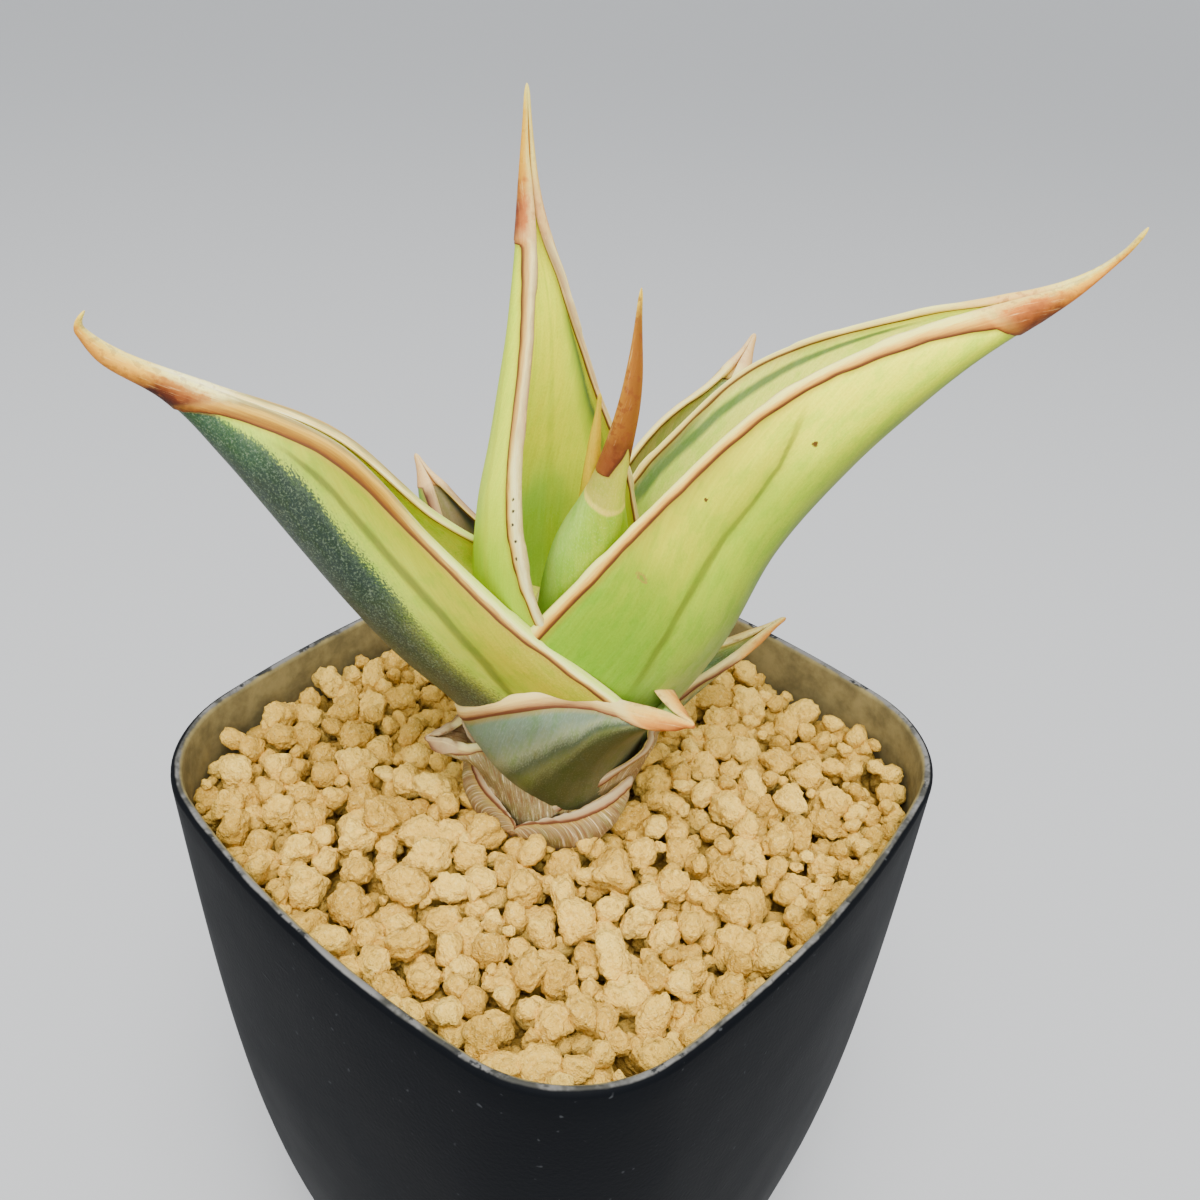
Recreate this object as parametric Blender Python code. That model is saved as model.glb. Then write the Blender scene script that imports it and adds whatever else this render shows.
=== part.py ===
# Potted snake plant: a small variegated succulent of channelled, horn-tipped leaves,
# rooted in clay granules in a tall pot of rounded square section.
# Model frame: metres, +Z up, origin at the centre of the pot's underside, pot sides along X and Y.

import math
import random

import bmesh
import bpy
from mathutils import Vector

MM = 0.001
CLEARANCE = 0.4

# Pot, in millimetres
POT_HEIGHT = 105.0
POT_HALF_WIDTH = 45.0
POT_BASE_NARROWING = 8.8
POT_NARROWING_POWER = 3.6
POT_CORNER_RIM = 19.8
POT_CORNER_BASE = 30.0
POT_SIDE_RADIUS = 163.0
POT_WALL = 1.5
POT_FLOOR = 2.5
POT_FOOT_CHAMFER = 1.2
POT_ROWS = 7
SIDE_STEPS = 5
CORNER_STEPS = 6
DRAIN_RADIUS = 3.5
DRAIN_OFFSET = 17.0
DRAIN_SIDES = 16

# Soil and granules, in millimetres
SOIL_BELOW_RIM = 5.3
SOIL_TOP = POT_HEIGHT - SOIL_BELOW_RIM
SOIL_BED = SOIL_TOP - 2.4
GRANULE_SPACING = 7.0
GRANULE_ROW_SPACING = 6.0
GRANULE_SMALL = 2.7
GRANULE_LARGE = 3.6
GRANULE_SWAY = 0.7
GRANULE_NUDGE = 0.8
GRANULE_NUDGES = 4
GRANULE_SEED = 11

# Rootstock, in millimetres. Its crown, which the leaf bases stand on, lies just under the granules
CROWN = POT_HEIGHT - 8.0
ROOT_TOP = -0.6
ROOT_DEPTH = 30.0
ROOT_RADIUS = 8.0
ROOT_SIDES = 24
STEM_RADIUS = 11.5

# Leaves, in millimetres. Azimuths in degrees from +X. Each line of stations runs evenly from the
# clasping base to the horn tip: (out, up) of the keel and of the line midway between the margins,
# out from the plant's axis and up from the crown, then the half width across the leaf and
# the share of it that lies between the middle and each margin.
BIG, SMALL, THIN = (12, 8, 18), (10, 6, 11), (12, 8, 9)
LEAVES = {
    "leaf_heart": dict(
        azimuth=-8, size=SMALL, wall=1.2, side=1.0, rim=0.7, horn=0.3,
        keel=[(1.6, 10), (3.1, 28), (4.3, 46), (4.6, 61)],
        margin=[(-1.4, 11), (0, 29), (2.0, 47), (4.0, 61.4)],
        half=[1.8, 1.8, 1.2, 0.4], share=[0.5, 0.4, 0.4, 0.4], sway=[0, 0]),
    "leaf_young": dict(
        azimuth=-8, size=BIG, wall=2.2, side=1.4, rim=0.9, horn=0.68,
        keel=[(4.8, 0), (6, 14), (6.8, 27), (7.6, 38.2), (8.3, 49.9), (10.1, 62.2), (9.8, 74.1)],
        margin=[(-4.5, 8), (-4, 20), (-2.4, 32.1), (0.2, 42.4), (4.5, 51.7), (8.3, 62.1), (9.6, 74.2)],
        half=[4.8, 5.6, 5.7, 5.5, 2.1, 1.3, 0.4], share=[0.5, 0.5, 0.5, 0.4, 0.36, 0.4, 0.4],
        sway=[0, 0.2, -0.1, 0]),
    "leaf_tall": dict(
        azimuth=175, size=BIG, wall=2.6, side=1.5, rim=1.1, horn=0.8,
        keel=[(6.0, 0), (11.1, 13.5), (14.1, 27.5), (13.3, 41.3), (11.5, 53.8), (9.4, 67.3), (9.3, 79.7),
              (8.4, 90.5)],
        margin=[(-5.4, 12), (-5.9, 26), (-3.6, 38.5), (-0.6, 48.7), (2.7, 58.3), (5.0, 69.6), (7.4, 80.1),
                (8.1, 90.8)],
        half=[6.2, 7.6, 9.6, 9.0, 6.2, 3.8, 1.3, 0.5], share=[0.7, 0.8, 0.97, 0.98, 0.95, 0.74, 0.47, 0.4],
        sway=[0.1, 0.5, -0.3, 0.6]),
    "leaf_big_right": dict(
        azimuth=45, size=BIG, wall=3.6, side=2.0, rim=1.3, horn=0.86,
        keel=[(7, 0), (13.1, 12.6), (20.6, 25.8), (26.2, 39.9), (34.4, 51.2), (45.4, 63.6), (54.8, 71.9),
              (60.8, 79.2)],
        margin=[(-6.5, 11), (-6.8, 27), (3.2, 40.3), (12.0, 50.6), (22.7, 60.9), (37.8, 68.2), (54.0, 73.6),
                (60.2, 79.8)],
        half=[7.4, 9.1, 9.1, 8.1, 6.9, 4.9, 1.5, 0.5], share=[0.65, 0.8, 0.66, 0.78, 0.88, 0.66, 0.42, 0.4],
        sway=[0, 0.3, 2.2, -1.5]),
    "leaf_big_left": dict(
        azimuth=226, size=BIG, wall=3.6, side=2.0, rim=1.3, horn=0.72,
        keel=[(8, 0), (13.2, 15.4), (23.6, 28.5), (32.6, 41.2), (40.1, 51.2), (45.6, 57.5), (51.3, 62.1),
              (53.2, 67.4)],
        margin=[(-8.4, 9), (-7.7, 20.8), (4.7, 32.2), (16.4, 42.3), (27.1, 53.0), (41.1, 59.2), (49.5, 63.3),
                (52.0, 67.9)],
        half=[8.4, 10.9, 10.4, 8.2, 5.8, 2.0, 1.35, 0.5], share=[0.64, 0.91, 0.79, 0.45, 0.28, 0.37, 0.4, 0.4],
        sway=[0, 0.7, -1.9, 0.5]),
    "leaf_back_right": dict(
        azimuth=87, size=SMALL, wall=1.8, side=1.2, rim=0.9, horn=0.85,
        keel=[(8.8, 0), (17, 14), (24, 28), (28, 40), (31, 50), (34.2, 59.5)],
        margin=[(-2, 14), (4, 28), (13, 40), (21, 49), (28, 54.5), (33.4, 60.2)],
        half=[9.0, 9.8, 8.0, 6.0, 2.8, 0.5], share=[0.95, 0.9, 0.85, 0.8, 0.6, 0.4], sway=[0, 0]),
    "leaf_back_left": dict(
        azimuth=170, size=SMALL, wall=1.5, side=1.1, rim=0.9, horn=0.9,
        keel=[(9.2, 0), (17, 9), (25, 18), (32, 27.5), (38, 37.5)],
        margin=[(-1, 12), (7, 20), (17, 26.5), (27, 32), (37, 38)],
        half=[9.4, 9.4, 7.0, 3.5, 0.5], share=[0.97, 0.95, 0.9, 0.8, 0.4], sway=[0, 0]),
    "leaf_low_right": dict(
        azimuth=62, size=SMALL, wall=1.3, side=0.9, rim=0.8, horn=0.9,
        keel=[(9.6, 1), (14.5, 8.4), (19.6, 13.0), (26.0, 17.0), (33.8, 22.6)],
        margin=[(1, 13), (9.9, 14.5), (17.2, 15.6), (24.7, 18.0), (32.8, 23.3)],
        half=[9.8, 7.1, 5.1, 2.6, 0.5], share=[0.96, 0.97, 0.87, 0.8, 0.4], sway=[0.3, 1.9, -0.1]),
    "leaf_low_front": dict(
        azimuth=2, size=THIN, wall=1.0, side=0.9, rim=0.8, horn=0.9,
        keel=[(10.3, 2.6), (10.8, 10.4), (12.6, 15.9), (15.5, 20.0), (18.2, 21.4), (21.4, 22.4)],
        margin=[(-9.9, 15), (-4.6, 19.0), (4.0, 24.9), (8.0, 24.7), (13.3, 23.3), (20.4, 23.3)],
        half=[11.7, 14.4, 12.2, 7.8, 3.5, 0.6], share=[0.75, 0.84, 0.9, 0.86, 0.79, 0.4], sway=[0, 0]),
    "leaf_low_left": dict(
        azimuth=239, size=THIN, wall=0.9, side=0.9, rim=0.8, horn=0.9,
        keel=[(10.9, 1.1), (12.3, 7.4), (14.7, 9.8), (17.3, 10.9), (19.4, 13.0)],
        margin=[(2.3, 6.3), (6.7, 10.5), (10.2, 13.1), (14.3, 12.3), (18.5, 13.6)],
        half=[12.1, 10.0, 6.2, 3.1, 0.6], share=[0.92, 0.97, 0.92, 0.77, 0.4], sway=[-1, -0.6, 0.4]),
    "sheath_dry": dict(
        azimuth=122, size=THIN, wall=0.8, side=0.8, rim=0.7, horn=1.2,
        keel=[(12.1, -1.5), (12.6, 4), (13.4, 9), (14, 14), (14.6, 18)],
        margin=[(-11.6, 5.4), (-8.5, 10.2), (-3.6, 13.6), (5.5, 16.6), (13.9, 19)],
        half=[11.6, 12.8, 13.3, 9.4, 1.8], share=[0.1, 0.63, 0.95, 0.92, 0.6], sway=[1.4, 0.1, 0]),
    "sheath_scale": dict(
        azimuth=-73, size=THIN, wall=0.8, side=0.8, rim=0.7, horn=1.2,
        keel=[(12.6, -1.2), (12.9, 0.4), (13.4, 1.8), (14.4, 3.2)],
        margin=[(3, 8.5), (7.5, 7.6), (11.2, 5.8), (13.8, 4.0)],
        half=[12.3, 10.5, 6.5, 1.0], share=[0.97, 0.95, 0.9, 0.6], sway=[0, 0]),
}
CHANNEL_FADE = 0.35

COLOURS = {
    "pot": ((0.012, 0.015, 0.022), 0.45),
    "soil": ((0.56, 0.36, 0.16), 0.95),
    "rootstock": ((0.45, 0.33, 0.2), 0.8),
    "leaf_heart": ((0.8, 0.45, 0.08), 0.45),
    "leaf_young": ((0.4, 0.55, 0.15), 0.45),
    "leaf_tall": ((0.5, 0.65, 0.14), 0.45),
    "leaf_big_right": ((0.55, 0.68, 0.16), 0.45),
    "leaf_big_left": ((0.6, 0.68, 0.17), 0.45),
    "leaf_back_right": ((0.45, 0.6, 0.25), 0.5),
    "leaf_back_left": ((0.5, 0.5, 0.35), 0.55),
    "leaf_low_right": ((0.3, 0.42, 0.32), 0.55),
    "leaf_low_front": ((0.2, 0.35, 0.28), 0.5),
    "leaf_low_left": ((0.7, 0.6, 0.48), 0.65),
    "sheath_dry": ((0.75, 0.62, 0.48), 0.8),
    "sheath_scale": ((0.7, 0.56, 0.42), 0.8),
}


def clear_scene():
    for old in list(bpy.data.objects):
        bpy.data.objects.remove(old, do_unlink=True)


def new_collection(name):
    collection = bpy.data.collections.new(name)
    bpy.context.scene.collection.children.link(collection)
    return collection


def finish_material(name):
    colour, roughness = COLOURS[name]
    material = bpy.data.materials.new(name + "_finish")
    material.use_nodes = True
    shader = material.node_tree.nodes["Principled BSDF"]
    shader.inputs["Base Color"].default_value = (*colour, 1.0)
    shader.inputs["Roughness"].default_value = roughness
    shader.inputs["Metallic"].default_value = 0.0
    return material


def add_object(name, bm, collection):
    bmesh.ops.recalc_face_normals(bm, faces=bm.faces)
    mesh = bpy.data.meshes.new(name)
    bm.to_mesh(mesh)
    bm.free()
    piece = bpy.data.objects.new(name, mesh)
    collection.objects.link(piece)
    return piece


def loft(rings):
    """A closed skin through rings of equal point counts, capped at both ends."""
    bm = bmesh.new()
    rows = [[bm.verts.new(Vector(point) * MM) for point in ring] for ring in rings]
    count = len(rows[0])
    for lower, upper in zip(rows, rows[1:]):
        for i in range(count):
            j = (i + 1) % count
            bm.faces.new((lower[i], lower[j], upper[j], upper[i]))
    bm.faces.new(list(reversed(rows[0])))
    bm.faces.new(rows[-1])
    return bm


def boolean(piece, operation, solver="EXACT", other=None, group=None):
    """Cut or join a piece and apply the result to its mesh."""
    step = piece.modifiers.new("Boolean", "BOOLEAN")
    step.operation = operation
    step.solver = solver
    if group:
        step.operand_type = "COLLECTION"
        step.collection = group
    else:
        step.object = other
    evaluated = piece.evaluated_get(bpy.context.evaluated_depsgraph_get())
    result = bpy.data.meshes.new_from_object(evaluated)
    piece.modifiers.remove(step)
    piece.data = result


def drop_scraps(piece):
    """Keep the largest connected body of a cut piece."""
    bm = bmesh.new()
    bm.from_mesh(piece.data)
    left = set(bm.verts)
    bodies = []
    while left:
        body, front = set(), [left.pop()]
        while front:
            vert = front.pop()
            body.add(vert)
            for edge in vert.link_edges:
                other = edge.other_vert(vert)
                if other in left:
                    left.remove(other)
                    front.append(other)
        bodies.append(body)
    largest = max(bodies, key=len)
    bmesh.ops.delete(bm, geom=[vert for vert in bm.verts if vert not in largest], context="VERTS")
    bm.to_mesh(piece.data)
    bm.free()


def smooth(stations, t):
    """A smooth curve through evenly spaced stations, for numbers or tuples."""
    spans = len(stations) - 1
    i = min(int(t * spans), spans - 1)
    f = t * spans - i
    before, after = max(i - 1, 0), min(i + 2, spans)
    p0, p1, p2, p3 = (stations[k] for k in (before, i, i + 1, after))
    scale0 = 1.0 if before == i else 0.5
    scale1 = 1.0 if after == i + 1 else 0.5

    def blend(a, b, c, d):
        m1, m2 = (c - a) * scale0, (d - b) * scale1
        return ((2 * f ** 3 - 3 * f ** 2 + 1) * b + (f ** 3 - 2 * f ** 2 + f) * m1
                + (3 * f ** 2 - 2 * f ** 3) * c + (f ** 3 - f ** 2) * m2)

    if isinstance(p1, tuple):
        return tuple(blend(*column) for column in zip(p0, p1, p2, p3))
    return blend(p0, p1, p2, p3)


def ease(x):
    x = min(max(x, 0.0), 1.0)
    return x * x * (3 - 2 * x)


def leaf_ring(leaf, t, grow=0.0, solid=False):
    """The leaf's section at t: an oval arc from margin to margin round the keel, and the channel."""
    outer_steps, inner_steps, _ = leaf["size"]
    keel, margin = Vector(smooth(leaf["keel"], t)), Vector(smooth(leaf["margin"], t))
    across = margin - keel
    across.normalize()
    keel = keel - across * grow
    depth = (margin - keel).length + grow
    half = smooth(leaf["half"], t) + grow
    gap = half * min(max(smooth(leaf["share"], t), 0.1), 0.98)
    sway = smooth(leaf["sway"], t)
    turn = math.pi - math.asin(gap / half)
    rise = depth / (1 - math.cos(turn))
    outer = []
    for i in range(outer_steps + 1):
        angle = turn * (2 * i / outer_steps - 1)
        outer.append((half * math.sin(angle), rise * (1 - math.cos(angle))))
    points = list(outer)
    if not solid:
        rim = min(leaf["rim"], 0.5 * half)
        normal = Vector((-rise * math.sin(turn), half * math.cos(turn))).normalized()
        end_x, end_y = gap + normal.x * rim, depth + normal.y * rim
        end_x = max(end_x, 0.2 * gap)
        openness = 1 - ease((t - leaf["horn"] + CHANNEL_FADE) / CHANNEL_FADE)
        wide = max(end_x * 1.03, half - leaf["side"])
        inner_half = end_x * 1.03 + (wide - end_x * 1.03) * openness
        shallow = end_y - 0.25 * half
        floor = shallow + (min(leaf["wall"], shallow) - shallow) * openness
        inner_turn = math.pi - math.asin(end_x / inner_half)
        inner_rise = (end_y - floor) / (1 - math.cos(inner_turn))
        for i in range(inner_steps + 1):
            angle = inner_turn * (1 - 2 * i / inner_steps)
            points.append((inner_half * math.sin(angle), floor + inner_rise * (1 - math.cos(angle))))
    heading = math.radians(leaf["azimuth"])
    outward = Vector((math.cos(heading), math.sin(heading), 0))
    sideways = Vector((-math.sin(heading), math.cos(heading), 0))
    ring = []
    for x, y in points:
        place = keel + across * y
        ring.append(outward * place.x + sideways * (x + sway) + Vector((0, 0, CROWN + place.y)))
    return ring


def ring_centre(ring):
    return sum(ring, Vector()) / len(ring)


def leaf_rings(leaf, grow=0.0, solid=False):
    rows = leaf["size"][2]
    rings = [leaf_ring(leaf, i / rows, grow, solid) for i in range(rows + 1)]
    if grow:
        for end, inner in ((0, 1), (-1, -2)):
            step = (ring_centre(rings[end]) - ring_centre(rings[inner])).normalized() * grow
            rings[end] = [point + step for point in rings[end]]
    return rings


def build_leaves(collection, cutters):
    """Each leaf is trimmed clear of every leaf that stands inside it."""
    made, shields = [], []
    for name, leaf in LEAVES.items():
        piece = add_object(name, loft(leaf_rings(leaf)), collection)
        for shield in shields:
            boolean(piece, "DIFFERENCE", "MANIFOLD", other=shield)
        drop_scraps(piece)
        shield = loft(leaf_rings(leaf, grow=CLEARANCE, solid=True))
        shields.append(add_object(name + "_shield", shield, cutters))
        made.append(piece)
    return made, shields


def pot_outline(depth_below_rim, inset=0.0):
    """Points round a square with bulging sides and round corners, pulled in by inset."""
    fall = depth_below_rim / POT_HEIGHT
    half = POT_HALF_WIDTH - POT_BASE_NARROWING * fall ** POT_NARROWING_POWER
    corner = POT_CORNER_RIM + (POT_CORNER_BASE - POT_CORNER_RIM) * fall
    side_centre = half - POT_SIDE_RADIUS
    reach = POT_SIDE_RADIUS - corner
    corner_centre = (side_centre + math.sqrt(2 * reach ** 2 - side_centre ** 2)) / 2
    seam = math.atan2(corner_centre, corner_centre - side_centre)
    arcs = []
    for i in range(SIDE_STEPS):
        angle = seam * (2 * i / SIDE_STEPS - 1)
        radius = POT_SIDE_RADIUS - inset
        arcs.append((side_centre + radius * math.cos(angle), radius * math.sin(angle)))
    for i in range(CORNER_STEPS):
        angle = seam + (math.pi / 2 - 2 * seam) * i / CORNER_STEPS
        radius = corner - inset
        arcs.append((corner_centre + radius * math.cos(angle), corner_centre + radius * math.sin(angle)))
    points = []
    for quarter in range(4):
        c, s = math.cos(quarter * math.pi / 2), math.sin(quarter * math.pi / 2)
        points += [(x * c - y * s, x * s + y * c) for x, y in arcs]
    return points


def pot_ring(height, inset=0.0):
    return [(x, y, height) for x, y in pot_outline(POT_HEIGHT - height, inset)]


def pot_heights(lowest, highest):
    return [lowest + (highest - lowest) * i / POT_ROWS for i in range(POT_ROWS + 1)]


def build_pot(collection, cutters):
    """A thin moulded shell with a rounded rim, a chamfered foot and four drain holes."""
    rings = [pot_ring(0.0, POT_FOOT_CHAMFER)]
    rings += [pot_ring(z) for z in pot_heights(POT_FOOT_CHAMFER, POT_HEIGHT - POT_WALL / 2)]
    rings += [pot_ring(POT_HEIGHT, POT_WALL * 0.3), pot_ring(POT_HEIGHT, POT_WALL * 0.7)]
    rings += [pot_ring(z, POT_WALL) for z in reversed(pot_heights(POT_FLOOR, POT_HEIGHT - POT_WALL / 2))]
    pot = add_object("pot", loft(rings), collection)
    for quarter in range(4):
        heading = math.pi / 4 + quarter * math.pi / 2
        bm = bmesh.new()
        bmesh.ops.create_cone(bm, cap_ends=True, segments=DRAIN_SIDES, radius1=DRAIN_RADIUS * MM,
                              radius2=DRAIN_RADIUS * MM, depth=4 * POT_FLOOR * MM)
        place = Vector((math.cos(heading), math.sin(heading), 0)) * DRAIN_OFFSET * math.sqrt(2) * MM
        bmesh.ops.translate(bm, verts=bm.verts, vec=place)
        drain = add_object("drain_cutter_%d" % (quarter + 1), bm, cutters)
        boolean(pot, "DIFFERENCE", other=drain)
    return pot


def build_rootstock(collection):
    """The short root crown that the leaf bases stand on, tapering down into the soil."""
    profile = [(0.72, -ROOT_DEPTH), (0.9, -ROOT_DEPTH * 0.8), (1.0, -ROOT_DEPTH * 0.4), (1.0, ROOT_TOP)]
    rings = []
    for share, up in profile:
        radius = ROOT_RADIUS * share
        ring = []
        for i in range(ROOT_SIDES):
            angle = 2 * math.pi * i / ROOT_SIDES
            ring.append((radius * math.cos(angle), radius * math.sin(angle), CROWN + up))
        rings.append(ring)
    return add_object("rootstock", loft(rings), collection)


def granule(rng, x, y, size):
    """One lumpy clay granule: a squashed, turned and dented icosphere."""
    bm = bmesh.new()
    bmesh.ops.create_icosphere(bm, subdivisions=1, radius=size * MM)
    stretch = Vector((rng.uniform(0.85, 1.2), rng.uniform(0.85, 1.2), rng.uniform(0.75, 0.95)))
    for vert in bm.verts:
        vert.co *= rng.uniform(0.86, 1.1)
    bmesh.ops.scale(bm, verts=bm.verts, vec=stretch)
    spin = Vector((0, 0, 1)).rotation_difference(Vector((rng.uniform(-1, 1), rng.uniform(-1, 1), 1)))
    for vert in bm.verts:
        vert.co.rotate(spin)
    lift = SOIL_TOP - size * 0.5 + rng.uniform(-GRANULE_SWAY, GRANULE_SWAY)
    bmesh.ops.translate(bm, verts=bm.verts, vec=Vector((x, y, lift)) * MM)
    return bm


def inside_wall(bm, inset):
    """True where the whole lump lies within the pot's outline pulled in by inset."""
    outline = pot_outline(SOIL_BELOW_RIM, inset)
    for (x0, y0), (x1, y1) in zip(outline, outline[1:] + outline[:1]):
        for vert in bm.verts:
            if (x1 - x0) * (vert.co.y / MM - y0) - (y1 - y0) * (vert.co.x / MM - x0) < 0:
                return False
    return True


def build_soil(collection, cutters, shields):
    """Clay granules filling the pot: a body inside the wall, with its top layer as separate lumps."""
    inset = POT_WALL + CLEARANCE
    heights = pot_heights(POT_FLOOR, POT_HEIGHT - POT_WALL / 2)
    rings = [pot_ring(heights[0] + CLEARANCE, inset)]
    rings += [pot_ring(z, inset) for z in heights[1:] if z < SOIL_BED - 1]
    rings.append(pot_ring(SOIL_BED, inset))
    soil = add_object("soil", loft(rings), collection)

    rng = random.Random(GRANULE_SEED)
    lumps = new_collection("granules")
    columns = int(POT_HALF_WIDTH / GRANULE_SPACING) + 1
    rows = int(POT_HALF_WIDTH / GRANULE_ROW_SPACING) + 1
    for row in range(-rows, rows + 1):
        for column in range(-columns, columns + 1):
            x = (column + 0.5 * (row % 2) + rng.uniform(-0.2, 0.2)) * GRANULE_SPACING
            y = (row + rng.uniform(-0.2, 0.2)) * GRANULE_ROW_SPACING
            size = rng.uniform(GRANULE_SMALL, GRANULE_LARGE)
            bm = granule(rng, x, y, size)
            inward = Vector((-x, -y, 0)).normalized() * GRANULE_NUDGE * MM
            for _ in range(GRANULE_NUDGES):
                if not inside_wall(bm, inset):
                    bmesh.ops.translate(bm, verts=bm.verts, vec=inward)
            if inside_wall(bm, inset) and math.hypot(x, y) > STEM_RADIUS + size * 0.3:
                add_object("granule", bm, lumps)
            else:
                bm.free()
    boolean(soil, "UNION", solver="MANIFOLD", group=lumps)
    for lump in list(lumps.objects):
        bpy.data.objects.remove(lump, do_unlink=True)
    bpy.data.collections.remove(lumps)

    bm = bmesh.new()
    deep = ROOT_DEPTH + CLEARANCE
    bmesh.ops.create_cone(bm, cap_ends=True, segments=ROOT_SIDES, radius1=(ROOT_RADIUS + 0.4) * MM,
                          radius2=(ROOT_RADIUS + 0.4) * MM, depth=2 * deep * MM)
    bmesh.ops.translate(bm, verts=bm.verts, vec=(0, 0, CROWN * MM))
    boolean(soil, "DIFFERENCE", other=add_object("root_cutter", bm, cutters))
    for shield in shields:
        boolean(soil, "DIFFERENCE", other=shield)
    drop_scraps(soil)
    return soil


clear_scene()
parts = new_collection("potted_snake_plant")
cutters = new_collection("cutters")
leaves, shields = build_leaves(parts, cutters)
pot = build_pot(parts, cutters)
rootstock = build_rootstock(parts)
soil = build_soil(parts, cutters, shields)

plant = bpy.data.objects.new("potted_snake_plant", None)
parts.objects.link(plant)
for piece in leaves + [pot, rootstock, soil]:
    piece.data.materials.clear()
    piece.data.materials.append(finish_material(piece.name))
    piece.parent = plant
for cutter in cutters.objects:
    cutter.hide_render = True
    cutter.display_type = "WIRE"
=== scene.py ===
# Potted snake plant: the looks of its pot, granules, leaves and sheaths, in the order it is potted up.

import math
import random

import bmesh
import bpy
from mathutils import Matrix, Vector, noise


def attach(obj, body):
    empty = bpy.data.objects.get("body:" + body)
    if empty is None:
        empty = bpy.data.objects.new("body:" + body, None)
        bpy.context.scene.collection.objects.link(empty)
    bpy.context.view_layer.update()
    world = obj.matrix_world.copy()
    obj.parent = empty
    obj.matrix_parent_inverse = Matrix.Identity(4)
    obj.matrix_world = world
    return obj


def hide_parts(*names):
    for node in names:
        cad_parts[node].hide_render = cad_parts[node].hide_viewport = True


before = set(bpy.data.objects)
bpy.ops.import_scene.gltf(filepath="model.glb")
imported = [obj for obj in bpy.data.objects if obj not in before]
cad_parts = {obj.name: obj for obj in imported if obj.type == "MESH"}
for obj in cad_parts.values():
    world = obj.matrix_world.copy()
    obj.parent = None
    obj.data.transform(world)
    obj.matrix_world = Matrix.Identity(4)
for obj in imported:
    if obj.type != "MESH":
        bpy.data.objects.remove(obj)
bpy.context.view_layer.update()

# Pot
# A tall thin-walled shell of blue-black plastic, moulded in one piece in a rounded square section.
# It has a rounded rim, a flat foot and four drain holes. The outside is scuffed and speckled, the top of
# the rim light grey with dust and a painted highlight, and the inner wall dusty with dry clay and painted
# brighter against the shade inside the pot.

MM = 0.001
POT_HEIGHT = 105.0
POT_HALF_WIDTH = 45.0
POT_BASE_NARROWING = 8.8
POT_NARROWING_POWER = 3.6
POT_CORNER_RIM = 19.8
POT_CORNER_BASE = 30.0
POT_SIDE_RADIUS = 163.0
POT_WALL = 1.5
POT_FLOOR = 2.5
POT_FOOT_ROUND = 1.2
DRAIN_RADIUS = 3.5
DRAIN_OFFSET = 17.0
SHARP_FOLD = math.radians(50)


class Strand:
    """A value that varies over a surface. Sums and products of strands add their nodes to the finish."""

    def __init__(self, finish, socket):
        self.finish = finish
        self.socket = socket

    def maths(self, operation, first, second):
        return self.finish.node("ShaderNodeMath", {"operation": operation}, {0: first, 1: second})

    def __add__(self, other):
        return self.maths("ADD", self, other)

    def __radd__(self, other):
        return self.maths("ADD", other, self)

    def __sub__(self, other):
        return self.maths("SUBTRACT", self, other)

    def __rsub__(self, other):
        return self.maths("SUBTRACT", other, self)

    def __mul__(self, other):
        return self.maths("MULTIPLY", self, other)

    def __rmul__(self, other):
        return self.maths("MULTIPLY", other, self)

    def __abs__(self):
        return self.finish.node("ShaderNodeMath", {"operation": "ABSOLUTE"}, {0: self})


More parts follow.
